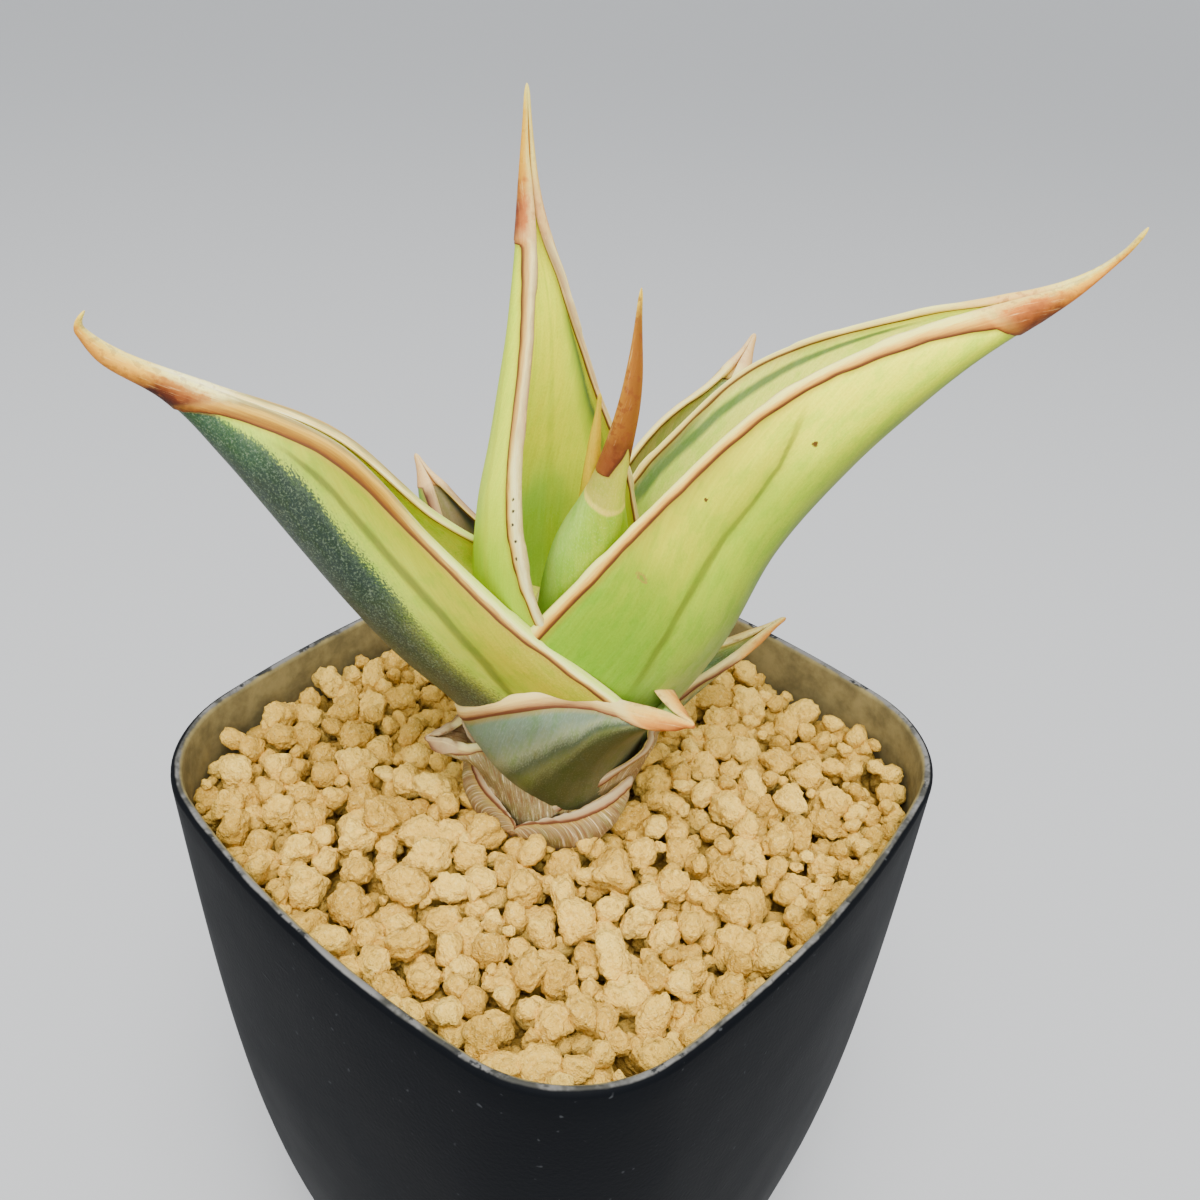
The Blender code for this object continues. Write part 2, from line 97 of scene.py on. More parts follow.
class Finish:
    """A material round one Principled shader, with the node patterns that its surface needs."""

    def __init__(self, name, fixed):
        self.material = bpy.data.materials.new(name)
        self.material.use_nodes = True
        self.tree = self.material.node_tree
        self.shader = self.tree.nodes["Principled BSDF"]
        for socket, value in fixed.items():
            self.shader.inputs[socket].default_value = value

    def node(self, kind, settings, sockets, output=0):
        made = self.tree.nodes.new(kind)
        for setting, value in settings.items():
            if setting == "stops":
                stops = made.color_ramp.elements
                while len(stops) < len(value):
                    stops.new(0.5)
                for stop, (place, *colour) in zip(stops, value):
                    stop.position = place
                    stop.color = (*colour, 1.0)
            else:
                setattr(made, setting, value)
        for socket, value in sockets.items():
            self.put(made.inputs[socket], value)
        return Strand(self, made.outputs[output])

    def put(self, socket, value):
        if isinstance(value, Strand):
            self.tree.links.new(value.socket, socket)
        elif isinstance(value, tuple) and len(value) == 3 and socket.type == "RGBA":
            socket.default_value = (*value, 1.0)
        else:
            socket.default_value = value

    def fact(self, name):
        return self.node("ShaderNodeAttribute", {"attribute_name": name}, {}, output=2)

    def place(self):
        return self.node("ShaderNodeTexCoord", {}, {}, output=3)

    def height(self):
        return self.node("ShaderNodeSeparateXYZ", {}, {0: self.place()}, output=2)

    def vector(self, x, y, z):
        return self.node("ShaderNodeCombineXYZ", {}, {0: x, 1: y, 2: z})

    def stretched(self, vector, scale, turn=(0.0, 0.0, 0.0)):
        return self.node("ShaderNodeMapping", {}, {"Vector": vector, "Rotation": turn, "Scale": scale})

    def cloud(self, vector, scale, detail=2.0, roughness=0.5):
        return self.node("ShaderNodeTexNoise", {},
                         {"Vector": vector, "Scale": scale, "Detail": detail, "Roughness": roughness})

    def rise(self, value, start, end):
        return self.node("ShaderNodeMapRange", {"interpolation_type": "SMOOTHSTEP"},
                         {"Value": value, "From Min": start, "From Max": end})

    def ramp(self, value, stops):
        return self.node("ShaderNodeValToRGB", {"stops": stops}, {0: value})

    def blend(self, share, under, over, how="MIX"):
        return self.node("ShaderNodeMix", {"data_type": "RGBA", "blend_type": how},
                         {0: share, 6: under, 7: over}, output=2)

    def curve(self, value, points):
        """A number between -1 and 1 that follows a value between 0 and 1 through the given points."""
        greys = [(place, (number + 1) / 2) for place, number in points]
        return self.ramp(value, [(place, grey, grey, grey) for place, grey in greys]) * 2.0 - 1.0

    def dents(self, height, depth, strength=1.0):
        sockets = {"Height": height, "Distance": depth * MM, "Strength": strength}
        return self.node("ShaderNodeBump", {}, sockets)

    def feed(self, **sockets):
        for socket, value in sockets.items():
            self.put(self.shader.inputs[socket.replace("_", " ")], value)
        return self


def pot_outline(height, inset, side_steps, corner_steps):
    """Points round a square with bulging sides and round corners, pulled in by inset."""
    fall = 1 - height / POT_HEIGHT
    half = POT_HALF_WIDTH - POT_BASE_NARROWING * fall ** POT_NARROWING_POWER
    corner = POT_CORNER_RIM + (POT_CORNER_BASE - POT_CORNER_RIM) * fall
    side_centre = half - POT_SIDE_RADIUS
    reach = POT_SIDE_RADIUS - corner
    corner_centre = (side_centre + math.sqrt(2 * reach ** 2 - side_centre ** 2)) / 2
    seam = math.atan2(corner_centre, corner_centre - side_centre)
    arcs = []
    for i in range(side_steps):
        angle = seam * (2 * i / side_steps - 1)
        radius = POT_SIDE_RADIUS - inset
        arcs.append((side_centre + radius * math.cos(angle), radius * math.sin(angle)))
    for i in range(corner_steps):
        angle = seam + (math.pi / 2 - 2 * seam) * i / corner_steps
        radius = corner - inset
        arcs.append((corner_centre + radius * math.cos(angle), corner_centre + radius * math.sin(angle)))
    turned = [arcs]
    for quarter in range(3):
        turned.append([(-y, x) for x, y in turned[-1]])
    return [point for quarter in turned for point in quarter]


def wrapped_sheet(columns, rows, facts, lay):
    """A grid rolled into a closed tube. lay gives each crossing's place in mm and its facts."""
    bm = bmesh.new()
    layers = [bm.verts.layers.float.new(fact) for fact in facts]
    bmesh.ops.create_grid(bm, x_segments=columns, y_segments=rows, size=1.0)
    for vert in bm.verts:
        column = round((vert.co.x + 1) / 2 * columns) % columns
        row = round((vert.co.y + 1) / 2 * rows)
        place, values = lay(column, row)
        vert.co = Vector(place) * MM
        for layer, value in zip(layers, values):
            vert[layer] = value
    bmesh.ops.remove_doubles(bm, verts=bm.verts, dist=0.000001)
    ends = [edge for edge in bm.edges if edge.is_boundary]
    bmesh.ops.holes_fill(bm, edges=ends, sides=0)
    bmesh.ops.recalc_face_normals(bm, faces=bm.faces)
    return bm


def new_piece(name, bm, finish):
    mesh = bpy.data.meshes.new(name)
    bm.to_mesh(mesh)
    bm.free()
    mesh.shade_smooth()
    mesh.materials.append(finish.material)
    piece = bpy.data.objects.new(name, mesh)
    bpy.context.scene.collection.objects.link(piece)
    return piece


POT_SIDE_STEPS = 12
POT_CORNER_STEPS = 18
POT_WALL_ROWS = 24
POT_FOOT_ROWS = 4
POT_RIM_ROWS = 8
rim_radius = POT_WALL / 2
rim_low = POT_HEIGHT - rim_radius
pot_profile = []
for step in reversed(range(POT_FOOT_ROWS + 1)):
    angle = math.pi / 2 * step / POT_FOOT_ROWS
    height, inset = POT_FOOT_ROUND * (1 - math.sin(angle)), POT_FOOT_ROUND * (1 - math.cos(angle))
    pot_profile.append((height, inset, 0.0))
for step in range(1, POT_WALL_ROWS):
    pot_profile.append((POT_FOOT_ROUND + (rim_low - POT_FOOT_ROUND) * step / POT_WALL_ROWS, 0.0, 0.0))
for step in range(POT_RIM_ROWS + 1):
    angle = math.pi * step / POT_RIM_ROWS
    height, inset = rim_low + rim_radius * math.sin(angle), rim_radius * (1 - math.cos(angle))
    pot_profile.append((height, inset, step / POT_RIM_ROWS))
for step in range(1, POT_WALL_ROWS + 1):
    pot_profile.append((rim_low + (POT_FLOOR - rim_low) * step / POT_WALL_ROWS, POT_WALL, 1.0))
pot_rings = [pot_outline(height, inset, POT_SIDE_STEPS, POT_CORNER_STEPS)
             for height, inset, inside in pot_profile]


def lay_pot(column, row):
    height, inset, inside = pot_profile[row]
    x, y = pot_rings[row][column]
    return (x, y, height), (inside,)


pot_finish = Finish("pot_plastic", {"Specular IOR Level": 0.02})
where = pot_finish.place()
inside = pot_finish.fact("inside")
clouding = pot_finish.cloud(where, 60.0, 5.0, 0.6)
fine = pot_finish.cloud(where, 1600.0, 2.0)
flecks = pot_finish.rise(pot_finish.cloud(where, 900.0, 1.0), 0.735, 0.80)
scratch_place = pot_finish.stretched(where, (60.0, 900.0, 700.0), (0.4, 0.9, 0.5))
scratches = pot_finish.rise(pot_finish.cloud(scratch_place, 1.0, 2.0), 0.72, 0.8)
outer_wall = pot_finish.blend(clouding, (0.002, 0.0023, 0.003), (0.0045, 0.0052, 0.0065))
outer_wall = pot_finish.blend(flecks * 0.3 + scratches * 0.04, outer_wall, (0.1, 0.105, 0.11))
dust = pot_finish.cloud(where, 220.0, 4.0, 0.65)
# The dusty clay of the inner wall, its colour painted brighter to make up for the shade inside the pot:
# partly painted light.
inner_dust_and_painted_light = pot_finish.blend(pot_finish.rise(dust, 0.3, 0.7), (0.13, 0.105, 0.046), (0.25, 0.2, 0.082))
chips = pot_finish.rise(pot_finish.cloud(where, 260.0, 4.0, 0.7), 0.54, 0.62)
worn = pot_finish.cloud(where, 90.0, 5.0, 0.7)
# Painted highlight: the top of the rim is light grey, partly dust and partly a painted highlight, with dark
# chips and worn patches.
rim_dust_and_highlight = pot_finish.blend(chips, (0.15, 0.145, 0.135), (0.02, 0.021, 0.022))
rim_dust_and_highlight = pot_finish.blend(pot_finish.rise(worn, 0.45, 0.6), rim_dust_and_highlight, (0.045, 0.044, 0.038))
top_of_rim = pot_finish.rise(inside + (clouding - 0.5) * 0.5, 0.37, 0.5)
past_rim = pot_finish.rise(inside + (dust - 0.5) * 0.4, 0.62, 0.8)
pot_colour = pot_finish.blend(top_of_rim, outer_wall, rim_dust_and_highlight)
pot_colour = pot_finish.blend(past_rim, pot_colour, inner_dust_and_painted_light)
pot_finish.feed(
    Base_Color=pot_colour,
    Roughness=0.42 + clouding * 0.16 + past_rim * 0.35 + flecks * 0.2,
    Normal=pot_finish.dents(fine * 0.5 + clouding * 0.5 + scratches * 0.4, 0.06))

pot_columns = 4 * (POT_SIDE_STEPS + POT_CORNER_STEPS)
pot_mesh = wrapped_sheet(pot_columns, len(pot_profile) - 1, ("inside",), lay_pot)
pot = new_piece("pot_shell", pot_mesh, pot_finish)
for quarter in range(4):
    heading = math.radians(45 + 90 * quarter)
    bm = bmesh.new()
    bmesh.ops.create_cone(bm, cap_ends=True, segments=40, radius1=DRAIN_RADIUS * MM,
                          radius2=DRAIN_RADIUS * MM, depth=4 * POT_FLOOR * MM)
    offset = Vector((math.cos(heading), math.sin(heading), 0)) * DRAIN_OFFSET * math.sqrt(2) * MM
    bmesh.ops.translate(bm, verts=bm.verts, vec=offset)
    drill = new_piece("drain_drill", bm, pot_finish)
    hole = pot.modifiers.new("drain", "BOOLEAN")
    hole.operation = "DIFFERENCE"
    hole.object = drill
    drilled = bpy.data.meshes.new_from_object(pot.evaluated_get(bpy.context.evaluated_depsgraph_get()))
    pot.modifiers.remove(hole)
    pot.data = drilled
    bpy.data.objects.remove(drill, do_unlink=True)
pot.data.set_sharp_from_angle(angle=SHARP_FOLD)
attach(pot, "root")
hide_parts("pot")

# Soil
# Dry ochre clay granules, sifted to one grade and poured round the roots. They lie loose, each one
# lumpy and dusty, up to a few millimetres under the rim and a little higher on one side.

GRANULE_SMALL = 1.3
GRANULE_LARGE = 2.8
CRUMB_SMALL = 0.7
CRUMB_LARGE = 1.2
CRUMBS = 160
GRANULE_TRIES = 12
GRANULE_SEED = 5
GRANULE_BED = 92.6
GRANULE_TOP = 101.2
GRANULE_SLOPE = 0.9
GRANULE_CELL = 6.4
GRANULE_FACETS = 8
GRANULE_EDGE = 14
GRANULE_FINE = 2.0
GRANULE_MISSES = 120
GRANULE_PACKING = 0.86
GRANULE_SINKING = 0.8
BURIED_DEPTH = 5.0
STEM_RADIUS = 10.7
POT_INNER_HALF = 44
HIGH_SIDE = Vector((-0.75, -0.66))
# Heights between which painted shade darkens the granules and the bed towards the bottom.
GAP_SHADE_TOP = 98.5 * MM
GAP_SHADE_BOTTOM = 94.5 * MM

soil_finish = Finish("clay_granules", {"Specular IOR Level": 0.15})
where = soil_finish.place()
lump = soil_finish.fact("lump")
broad = soil_finish.cloud(where, 260.0, 3.0, 0.6)
grit = soil_finish.cloud(where, 2400.0, 3.0, 0.7)
pits = soil_finish.cloud(where, 800.0, 4.0, 0.65)
clay = soil_finish.ramp(lump * 0.45 + broad * 0.55, [
    (0.2, 0.52, 0.29, 0.035), (0.42, 0.71, 0.42, 0.058),
    (0.6, 0.84, 0.52, 0.08), (0.85, 0.93, 0.63, 0.125)])
clay = soil_finish.blend(soil_finish.rise(grit, 0.5, 0.7) * 0.4, clay, (0.94, 0.72, 0.26))
clay = soil_finish.blend(soil_finish.rise(grit, 0.47, 0.3) * 0.35, clay, (0.42, 0.22, 0.03))
clay = soil_finish.blend(soil_finish.rise(pits, 0.46, 0.3) * 0.6, clay, (0.30, 0.15, 0.018))
# Painted shade: granules low in the bed, and the bed itself, are darkened towards the bottom, where they
# shade each other.
gap_shade = soil_finish.rise(soil_finish.height() + (pits - 0.5) * 0.002, GAP_SHADE_TOP, GAP_SHADE_BOTTOM)
clay = soil_finish.blend(gap_shade * 0.7, clay, (0.16, 0.08, 0.01))
soil_finish.feed(
    Base_Color=clay,
    Roughness=0.88 + grit * 0.1,
    Normal=soil_finish.dents(pits * 0.7 + grit * 0.3, 1.5, 1.0))


def clear_of_wall(x, y, radius):
    """True where a granule of this radius stays inside the pot's inner wall."""
    for (x0, y0), (x1, y1) in zip(wall_line, wall_line[1:] + wall_line[:1]):
        edge = math.hypot(x1 - x0, y1 - y0)
        if ((x1 - x0) * (y - y0) - (y1 - y0) * (x - x0)) / edge < radius:
            return False
    return True


def cell_of(x, y):
    return math.floor(x / GRANULE_CELL), math.floor(y / GRANULE_CELL)


def resting_height(x, y, radius):
    """How high a granule's middle comes to lie at (x, y) on those that are there already."""
    height = GRANULE_BED + radius * 0.6
    column, row = cell_of(x, y)
    for near_column in (column - 1, column, column + 1):
        for near_row in (row - 1, row, row + 1):
            for other_x, other_y, other_height, other_radius in cells.get((near_column, near_row), ()):
                touch = GRANULE_PACKING * (radius + other_radius)
                apart = math.hypot(x - other_x, y - other_y)
                if apart < touch:
                    settled_on = GRANULE_SINKING * math.sqrt(touch ** 2 - apart ** 2)
                    height = max(height, other_height + settled_on)
    return height


def drop_granule(rng, radius):
    """Try some places for a granule and keep the lowest, or None where none of them fits."""
    best = None
    for attempt in range(GRANULE_TRIES):
        x, y = (rng.uniform(-POT_INNER_HALF, POT_INNER_HALF) for side in "xy")
        if math.hypot(x, y) < STEM_RADIUS + radius * 0.5 or not clear_of_wall(x, y, radius * 0.85):
            continue
        height = resting_height(x, y, radius)
        if best is None or height < best[2]:
            best = (x, y, height, radius)
    if best is None:
        return None
    limit = GRANULE_TOP + GRANULE_SLOPE * HIGH_SIDE.dot(Vector(best[:2])) / POT_HALF_WIDTH
    if best[2] + radius * 0.8 > limit:
        return None
    cells.setdefault(cell_of(*best[:2]), []).append(best)
    return best


def add_granule(heap, rng, place, radius, rounds):
    """One lump: a small ball with softly flattened sides, pressed out of round and pushed in and out."""
    bm = bmesh.new()
    layer = bm.verts.layers.float.new("lump")
    bmesh.ops.create_icosphere(bm, subdivisions=rounds, radius=1.0)
    squash = Vector((rng.uniform(0.85, 1.3), rng.uniform(0.8, 1.1), rng.uniform(0.75, 1.0)))
    seed = Vector((rng.uniform(0, 90), rng.uniform(0, 90), rng.uniform(0, 90)))
    spin = Matrix.Rotation(rng.uniform(0, math.tau), 3, Vector((rng.uniform(-1, 1), rng.uniform(-1, 1), 1)))
    shade = rng.random()
    facets = []
    for facet in range(GRANULE_FACETS):
        way = Vector((rng.gauss(0, 1), rng.gauss(0, 1), rng.gauss(0, 1))).normalized()
        facets.append(way / rng.uniform(0.62, 0.96))
    for vert in bm.verts:
        way = vert.co.copy()
        pressed = 1 + sum(max(way.dot(facet), 0.0) ** GRANULE_EDGE for facet in facets)
        swell = 1.1 * pressed ** (-1 / GRANULE_EDGE)
        swell *= 1.0 + 0.2 * noise.noise(way * 1.3 + seed) + 0.2 * noise.noise(way * 3.1 + seed)
        swell += 0.11 * noise.noise(way * 6.5 + seed)
        body = Vector((way.x * squash.x, way.y * squash.y, way.z * squash.z)) * swell
        vert.co = (spin @ body * radius + place) * MM
        vert[layer] = shade
    bm.to_mesh(carrier)
    bm.free()
    heap.from_mesh(carrier)


wall_line = pot_outline(GRANULE_TOP, POT_WALL + 0.2, 4, 6)
rng = random.Random(GRANULE_SEED)
cells, settled, misses = {}, [], 0
while misses < GRANULE_MISSES:
    granule = drop_granule(rng, GRANULE_SMALL + (GRANULE_LARGE - GRANULE_SMALL) * rng.random() ** 1.25)
    if granule is None:
        misses += 1
    else:
        settled.append(granule)
for crumb in range(CRUMBS):
    settled.append(drop_granule(rng, rng.uniform(CRUMB_SMALL, CRUMB_LARGE)))
settled = [granule for granule in settled if granule]

near_half, far_half, buried = bmesh.new(), bmesh.new(), bmesh.new()
carrier = bpy.data.meshes.new("granule_carrier")
for heap in (near_half, far_half, buried):
    heap.verts.layers.float.new("lump")
for x, y, height, radius in settled:
    if height + radius < GRANULE_TOP - BURIED_DEPTH:
        add_granule(buried, rng, Vector((x, y, height)), radius, 2)
    else:
        heap = near_half if x - y > 4 else far_half
        add_granule(heap, rng, Vector((x, y, height)), radius, 4 if radius > GRANULE_FINE else 3)
bpy.data.meshes.remove(carrier)

BED_ROWS = 8
bed_low, bed_high = POT_FLOOR + 0.3, GRANULE_BED + 0.9
bed_heights = [bed_low + (bed_high - bed_low) * row / BED_ROWS for row in range(BED_ROWS + 1)]
bed_rings = [pot_outline(height, POT_WALL + 0.3, 6, 8) for height in bed_heights]
bed = wrapped_sheet(56, BED_ROWS, ("lump",),
                    lambda column, row: ((*bed_rings[row][column], bed_heights[row]), (0.0,)))
for name, bm in (("granules_near", near_half), ("granules_far", far_half), ("granules_buried", buried),
                 ("granules_deep", bed)):
    piece = new_piece(name, bm, soil_finish)
    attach(piece, "root")
    if name == "granules_deep":
        piece.data.set_sharp_from_angle(angle=SHARP_FOLD)
        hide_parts("soil")

# Rootstock
# The short root crown that all the leaves grow from. It is hidden in the granules, pale brown and fibrous.

root_finish = Finish("root_fibre", {})
where = root_finish.place()
fibres = root_finish.cloud(root_finish.stretched(where, (900.0, 900.0, 90.0)), 1.0, 3.0)
root_finish.feed(
    Base_Color=root_finish.blend(fibres, (0.3, 0.2, 0.11), (0.56, 0.43, 0.27)),
    Roughness=0.75 + fibres * 0.15,
    Normal=root_finish.dents(fibres, 0.3))
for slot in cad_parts["rootstock"].material_slots:
    slot.material = root_finish.material

# Heart leaf
# The newest leaf, a narrow channelled spike in the middle of the plant. It is a waxy yellow-orange
# with paler edges, and grows out of the mouth of the leaf before it.

CROWN = POT_HEIGHT - 8.0
BACK, RIM, CHANNEL = 64, 8, 32
BACK_CROWDING = 0.55
CHANNEL_CROWDING = 0.4
NARROWEST_MOUTH = 0.2
CHANNEL_SWELL = 1.03
CHANNEL_FADE = 0.35
HORN_COVER = 9.0
EDGE_RAGGED = 0.12
LIP_RAGGED = 0.3
PEEL = 0.9
BEAD_EDGE = 0.35
BEAD_FULL_HALF = 2.5
GROOVE_DEPTH = 0.08
GROOVE_WIDTH = 0.2
GROOVE_FULL_HALF = 4.0
SKIN_RIPPLE = 0.05
WAVE_REACH = 3.0
CREASE_FADE = 0.08
# How wide the painted shade along a crease is, in mm.
CREASE_SHADE_WIDTH = 0.6
TIP_ROUND = 0.018
TIP_THINNING = 0.35
HOOK_SHARE = 0.05
ROW_CROWDING = 1.3

# What each point of a leaf's skin knows. girth runs from 0 at the keel or the channel's middle to 1 at the
# margin, with its sign for the side, and across is the same in mm. length runs from 0 at the base to 1 at
# the tip, and along is the same in mm. margin is how many mm the margin is away, negative in the channel.
# band is how many mm the point lies inside the margin's raised band, and share the same from 0 to 1.
# crease is how strongly painted shade darkens it along a crease.
FACTS = ("girth", "across", "along", "length", "margin", "band", "share", "crease")


def ease(x):
    x = min(max(x, 0.0), 1.0)
    return x * x * (3 - 2 * x)


def smooth(stations, t):
    """A smooth curve through evenly spaced stations, for numbers or tuples."""
    spans = len(stations) - 1
    i = min(int(t * spans), spans - 1)
    f = t * spans - i
    before, after = max(i - 1, 0), min(i + 2, spans)
    p0, p1, p2, p3 = (stations[k] for k in (before, i, i + 1, after))
    scale0 = 1.0 if before == i else 0.5
    scale1 = 1.0 if after == i + 1 else 0.5

    def curve(a, b, c, d):
        m1, m2 = (c - a) * scale0, (d - b) * scale1
        return ((2 * f ** 3 - 3 * f ** 2 + 1) * b + (f ** 3 - 2 * f ** 2 + f) * m1
                + (3 * f ** 2 - 2 * f ** 3) * c + (f ** 3 - f ** 2) * m2)

    if isinstance(p1, tuple):
        return tuple(curve(*column) for column in zip(p0, p1, p2, p3))
    return curve(p0, p1, p2, p3)


def through(points, t):
    """The value at t of a line through (t, value) points."""
    if t <= points[0][0]:
        return points[0][1]
    for (t0, v0), (t1, v1) in zip(points, points[1:]):
        if t < t1:
            return v0 + (v1 - v0) * (t - t0) / (t1 - t0)
    return points[-1][1]


# A leaf is given by stations from its base to its tip. keel and margin are places (outward, up) from the
# crown in mm, half is half its width, share is the mouth of its channel as a share of that, and sway is
# how far it leans sideways. edge says at which girth the margin's raised band starts along its length,
# bead how thick the band is, lip how far it laps into the channel on the right and left, and horn where
# the tip turns to horn. wall is the leaf's thickness under its channel and side the one beside it.


def half_section(leaf, t):
    """The right half of the section at t, from the keel round the rim to the channel's middle, in mm."""
    keel, margin = Vector(smooth(leaf["keel"], t)), Vector(smooth(leaf["margin"], t))
    depth = (margin - keel).length
    half = smooth(leaf["half"], t)
    gap = half * min(max(smooth(leaf["share"], t), 0.1), 0.98)
    turn = math.pi - math.asin(gap / half)
    rise = depth / (1 - math.cos(turn))
    points = []
    for i in range(BACK // 2 + 1):
        s = 2 * i / BACK
        angle = turn * ((1 - BACK_CROWDING) * s + BACK_CROWDING * math.sin(s * math.pi / 2))
        points.append(Vector((half * math.sin(angle), rise * (1 - math.cos(angle)))))
    rim = min(leaf["rim"], 0.5 * half)
    normal = Vector((-rise * math.sin(turn), half * math.cos(turn))).normalized()
    end = points[-1] + normal * rim
    end.x = max(end.x, NARROWEST_MOUTH * gap)
    centre = (points[-1] + end) / 2
    arm = points[-1] - centre
    crest = Vector((-arm.y, arm.x))
    if crest.dot(Vector((half * math.cos(turn), rise * math.sin(turn)))) < 0:
        crest = -crest
    for i in range(1, RIM):
        angle = math.pi * i / RIM
        points.append(centre + arm * math.cos(angle) + crest * math.sin(angle))
    openness = 1 - ease((t - leaf["horn"] + CHANNEL_FADE) / CHANNEL_FADE)
    narrow = end.x * CHANNEL_SWELL
    wide = max(narrow, half - leaf["side"])
    inner_half = narrow + (wide - narrow) * openness
    shallow = end.y - 0.25 * half
    floor = shallow + (min(leaf["wall"], shallow) - shallow) * openness
    inner_turn = math.pi - math.asin(end.x / inner_half)
    inner_rise = (end.y - floor) / (1 - math.cos(inner_turn))
    for i in range(CHANNEL // 2 + 1):
        s = 1 - 2 * i / CHANNEL
        angle = inner_turn * ((1 - CHANNEL_CROWDING) * s + CHANNEL_CROWDING * math.sin(s * math.pi / 2))
        points.append(Vector((inner_half * math.sin(angle), floor + inner_rise * (1 - math.cos(angle)))))
    return keel, margin, points, half


def ripple(u, v, w):
    """A smooth unevenness between -1 and 1."""
    return noise.noise(Vector((u, v, w)))


def bell(off, width):
    return math.exp(-(off / width) ** 2)


def band_facts(leaf, t, along, side, to_crest):
    """Where the raised band starts on the back, how far it laps into the channel, and how it peels."""
    ragged = EDGE_RAGGED * ripple(along * 0.35, side * 7.0, leaf["azimuth"])
    start = through(leaf["edge"], t) - ragged / to_crest
    lip = leaf["lip"][0 if side > 0 else 1] * (1 + LIP_RAGGED * ripple(along * 0.3, side * 3.0, 4.0))
    lip += HORN_COVER * ease((t - leaf.get("cover", leaf["horn"]) + 0.04) / 0.08)
    peel = ease(ripple(along * 0.16, side * 9.0, leaf["azimuth"] + 5.0) * 4 - 0.2)
    peel *= leaf["bead"] * PEEL * ease((leaf["horn"] - t) / 0.06)
    return min(max(start, -1.0), 0.99), lip, peel


def crease_facts(leaf, t, from_middle, to_crest):
    """How deep the creases of the back are pressed in here, in mm, and how dark their painted shade is."""
    depth, crease_shade = 0.0, 0.0
    for line, deepest, width in leaf.get("creases", ()):
        start, end = line[0][0], line[-1][0]
        if start < t < end:
            off = from_middle - through(line, t) * to_crest
            fade = ease((t - start) / CREASE_FADE) * ease((end - t) / CREASE_FADE)
            depth += deepest * bell(off, width) * fade
            crease_shade = max(crease_shade, bell(off, CREASE_SHADE_WIDTH) * fade)
    return depth, crease_shade


def leaf_row(leaf, t, along):
    """Every crossing of one row of the leaf, with its raised margin bands, creases and facts."""
    keel, margin, points, half = half_section(leaf, t)
    crest = BACK // 2 + RIM // 2
    travelled = [0.0]
    for a, b in zip(points, points[1:]):
        travelled.append(travelled[-1] + (b - a).length)
    to_crest, total = travelled[crest], travelled[-1]
    normals = []
    for before, after in zip(points[:1] + points, points[1:] + points[-1:]):
        normals.append(Vector((after.y - before.y, before.x - after.x)).normalized())
    across = (margin - keel).normalized()
    middle = (margin - keel).length / 2
    heading = math.radians(leaf["azimuth"])
    outward = Vector((math.cos(heading), math.sin(heading), 0))
    sideways = Vector((-math.sin(heading), math.cos(heading), 0))
    sway = smooth(leaf["sway"], t)
    hook = Vector(leaf.get("hook", (0, 0))) * max((t - 1 + HOOK_SHARE) / HOOK_SHARE, 0) ** 2
    slim = math.sqrt(max(1 - max((t - 1 + TIP_ROUND) / TIP_ROUND, 0) ** 2, 0.004))
    slim *= 1 - TIP_THINNING * ease((t - 0.86) / 0.12)
    halves = []
    for side in (1, -1):
        band_start, lip, peel = band_facts(leaf, t, along, side, to_crest)
        wave = leaf["wave"] * ripple(along * 0.11, side * 5.0, 9.0)
        flares = [(Vector((wave, 0, 0)), WAVE_REACH)]
        for flared, spread, line, way in leaf.get("flares", ()):
            if flared == side:
                flares.append((Vector(way) * smooth(line, t), spread))
        row = []
        for i, (point, normal) in enumerate(zip(points, normals)):
            distance = to_crest - travelled[i]
            if i <= crest:
                from_middle = travelled[i]
                girth = from_middle / to_crest
                inside_band = (girth - band_start) * to_crest
                share = (girth - band_start) / (1 - band_start)
                depth, crease_shade = crease_facts(leaf, t, from_middle, to_crest)
            else:
                from_middle = total - travelled[i]
                girth = from_middle / (total - to_crest)
                inside_band = lip + distance
                share = 1 + distance / lip
                depth, crease_shade = 0.0, 0.0
            bead = leaf["bead"] * min(1.0, half / BEAD_FULL_HALF)
            lift = bead * ease(inside_band / BEAD_EDGE + 0.5) - depth
            lift += peel * ease((share - 0.45) / 0.3)
            groove = GROOVE_DEPTH * min(1.0, half / GROOVE_FULL_HALF)
            lift -= groove * bell(inside_band + BEAD_EDGE, GROOVE_WIDTH)
            lift += leaf.get("ribs", 0.0) * ripple(from_middle * side * 1.1, along * 0.05, 2.0)
            lift += SKIN_RIPPLE * ripple(from_middle * side * 0.5, along * 0.12, 2.0 if i <= crest else 6.0)
            moved = point + normal * lift
            pushed = sum((push * bell(distance, spread) for push, spread in flares), Vector((0, 0, 0)))
            x = side * (moved.x + pushed.x) * slim + sway
            y = middle + (moved.y - middle) * slim
            place = keel + across * y + hook + Vector((pushed.y, pushed.z))
            crossing = outward * place.x + sideways * x + Vector((0, 0, CROWN + place.y))
            row.append((crossing, (side * girth, side * from_middle, along, t, distance, inside_band,
                                   share, crease_shade)))
        halves.append(row)
    right, left = halves
    return right + list(reversed(left[1:-1]))


def leaf_mesh(leaf):
    """The whole leaf as one closed skin, with its rows closer together towards the tip."""
    rows = leaf["rows"]
    columns = 2 * (BACK // 2 + RIM + CHANNEL // 2)
    laid, along, last = [], 0.0, None
    for row in range(rows + 1):
        t = 1 - (1 - row / rows) ** ROW_CROWDING
        keel = Vector(smooth(leaf["keel"], t))
        along += (keel - last).length if last else 0.0
        last = keel
        laid.append(leaf_row(leaf, t, along))
    return wrapped_sheet(columns, rows, FACTS, lambda column, row: laid[row][column])


def add_leaf(node, form, leaf, finish):
    """Build a leaf's piece, which stands for its node."""
    piece = new_piece(node + form, leaf_mesh(leaf), finish)
    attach(piece, "root")
    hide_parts(node)


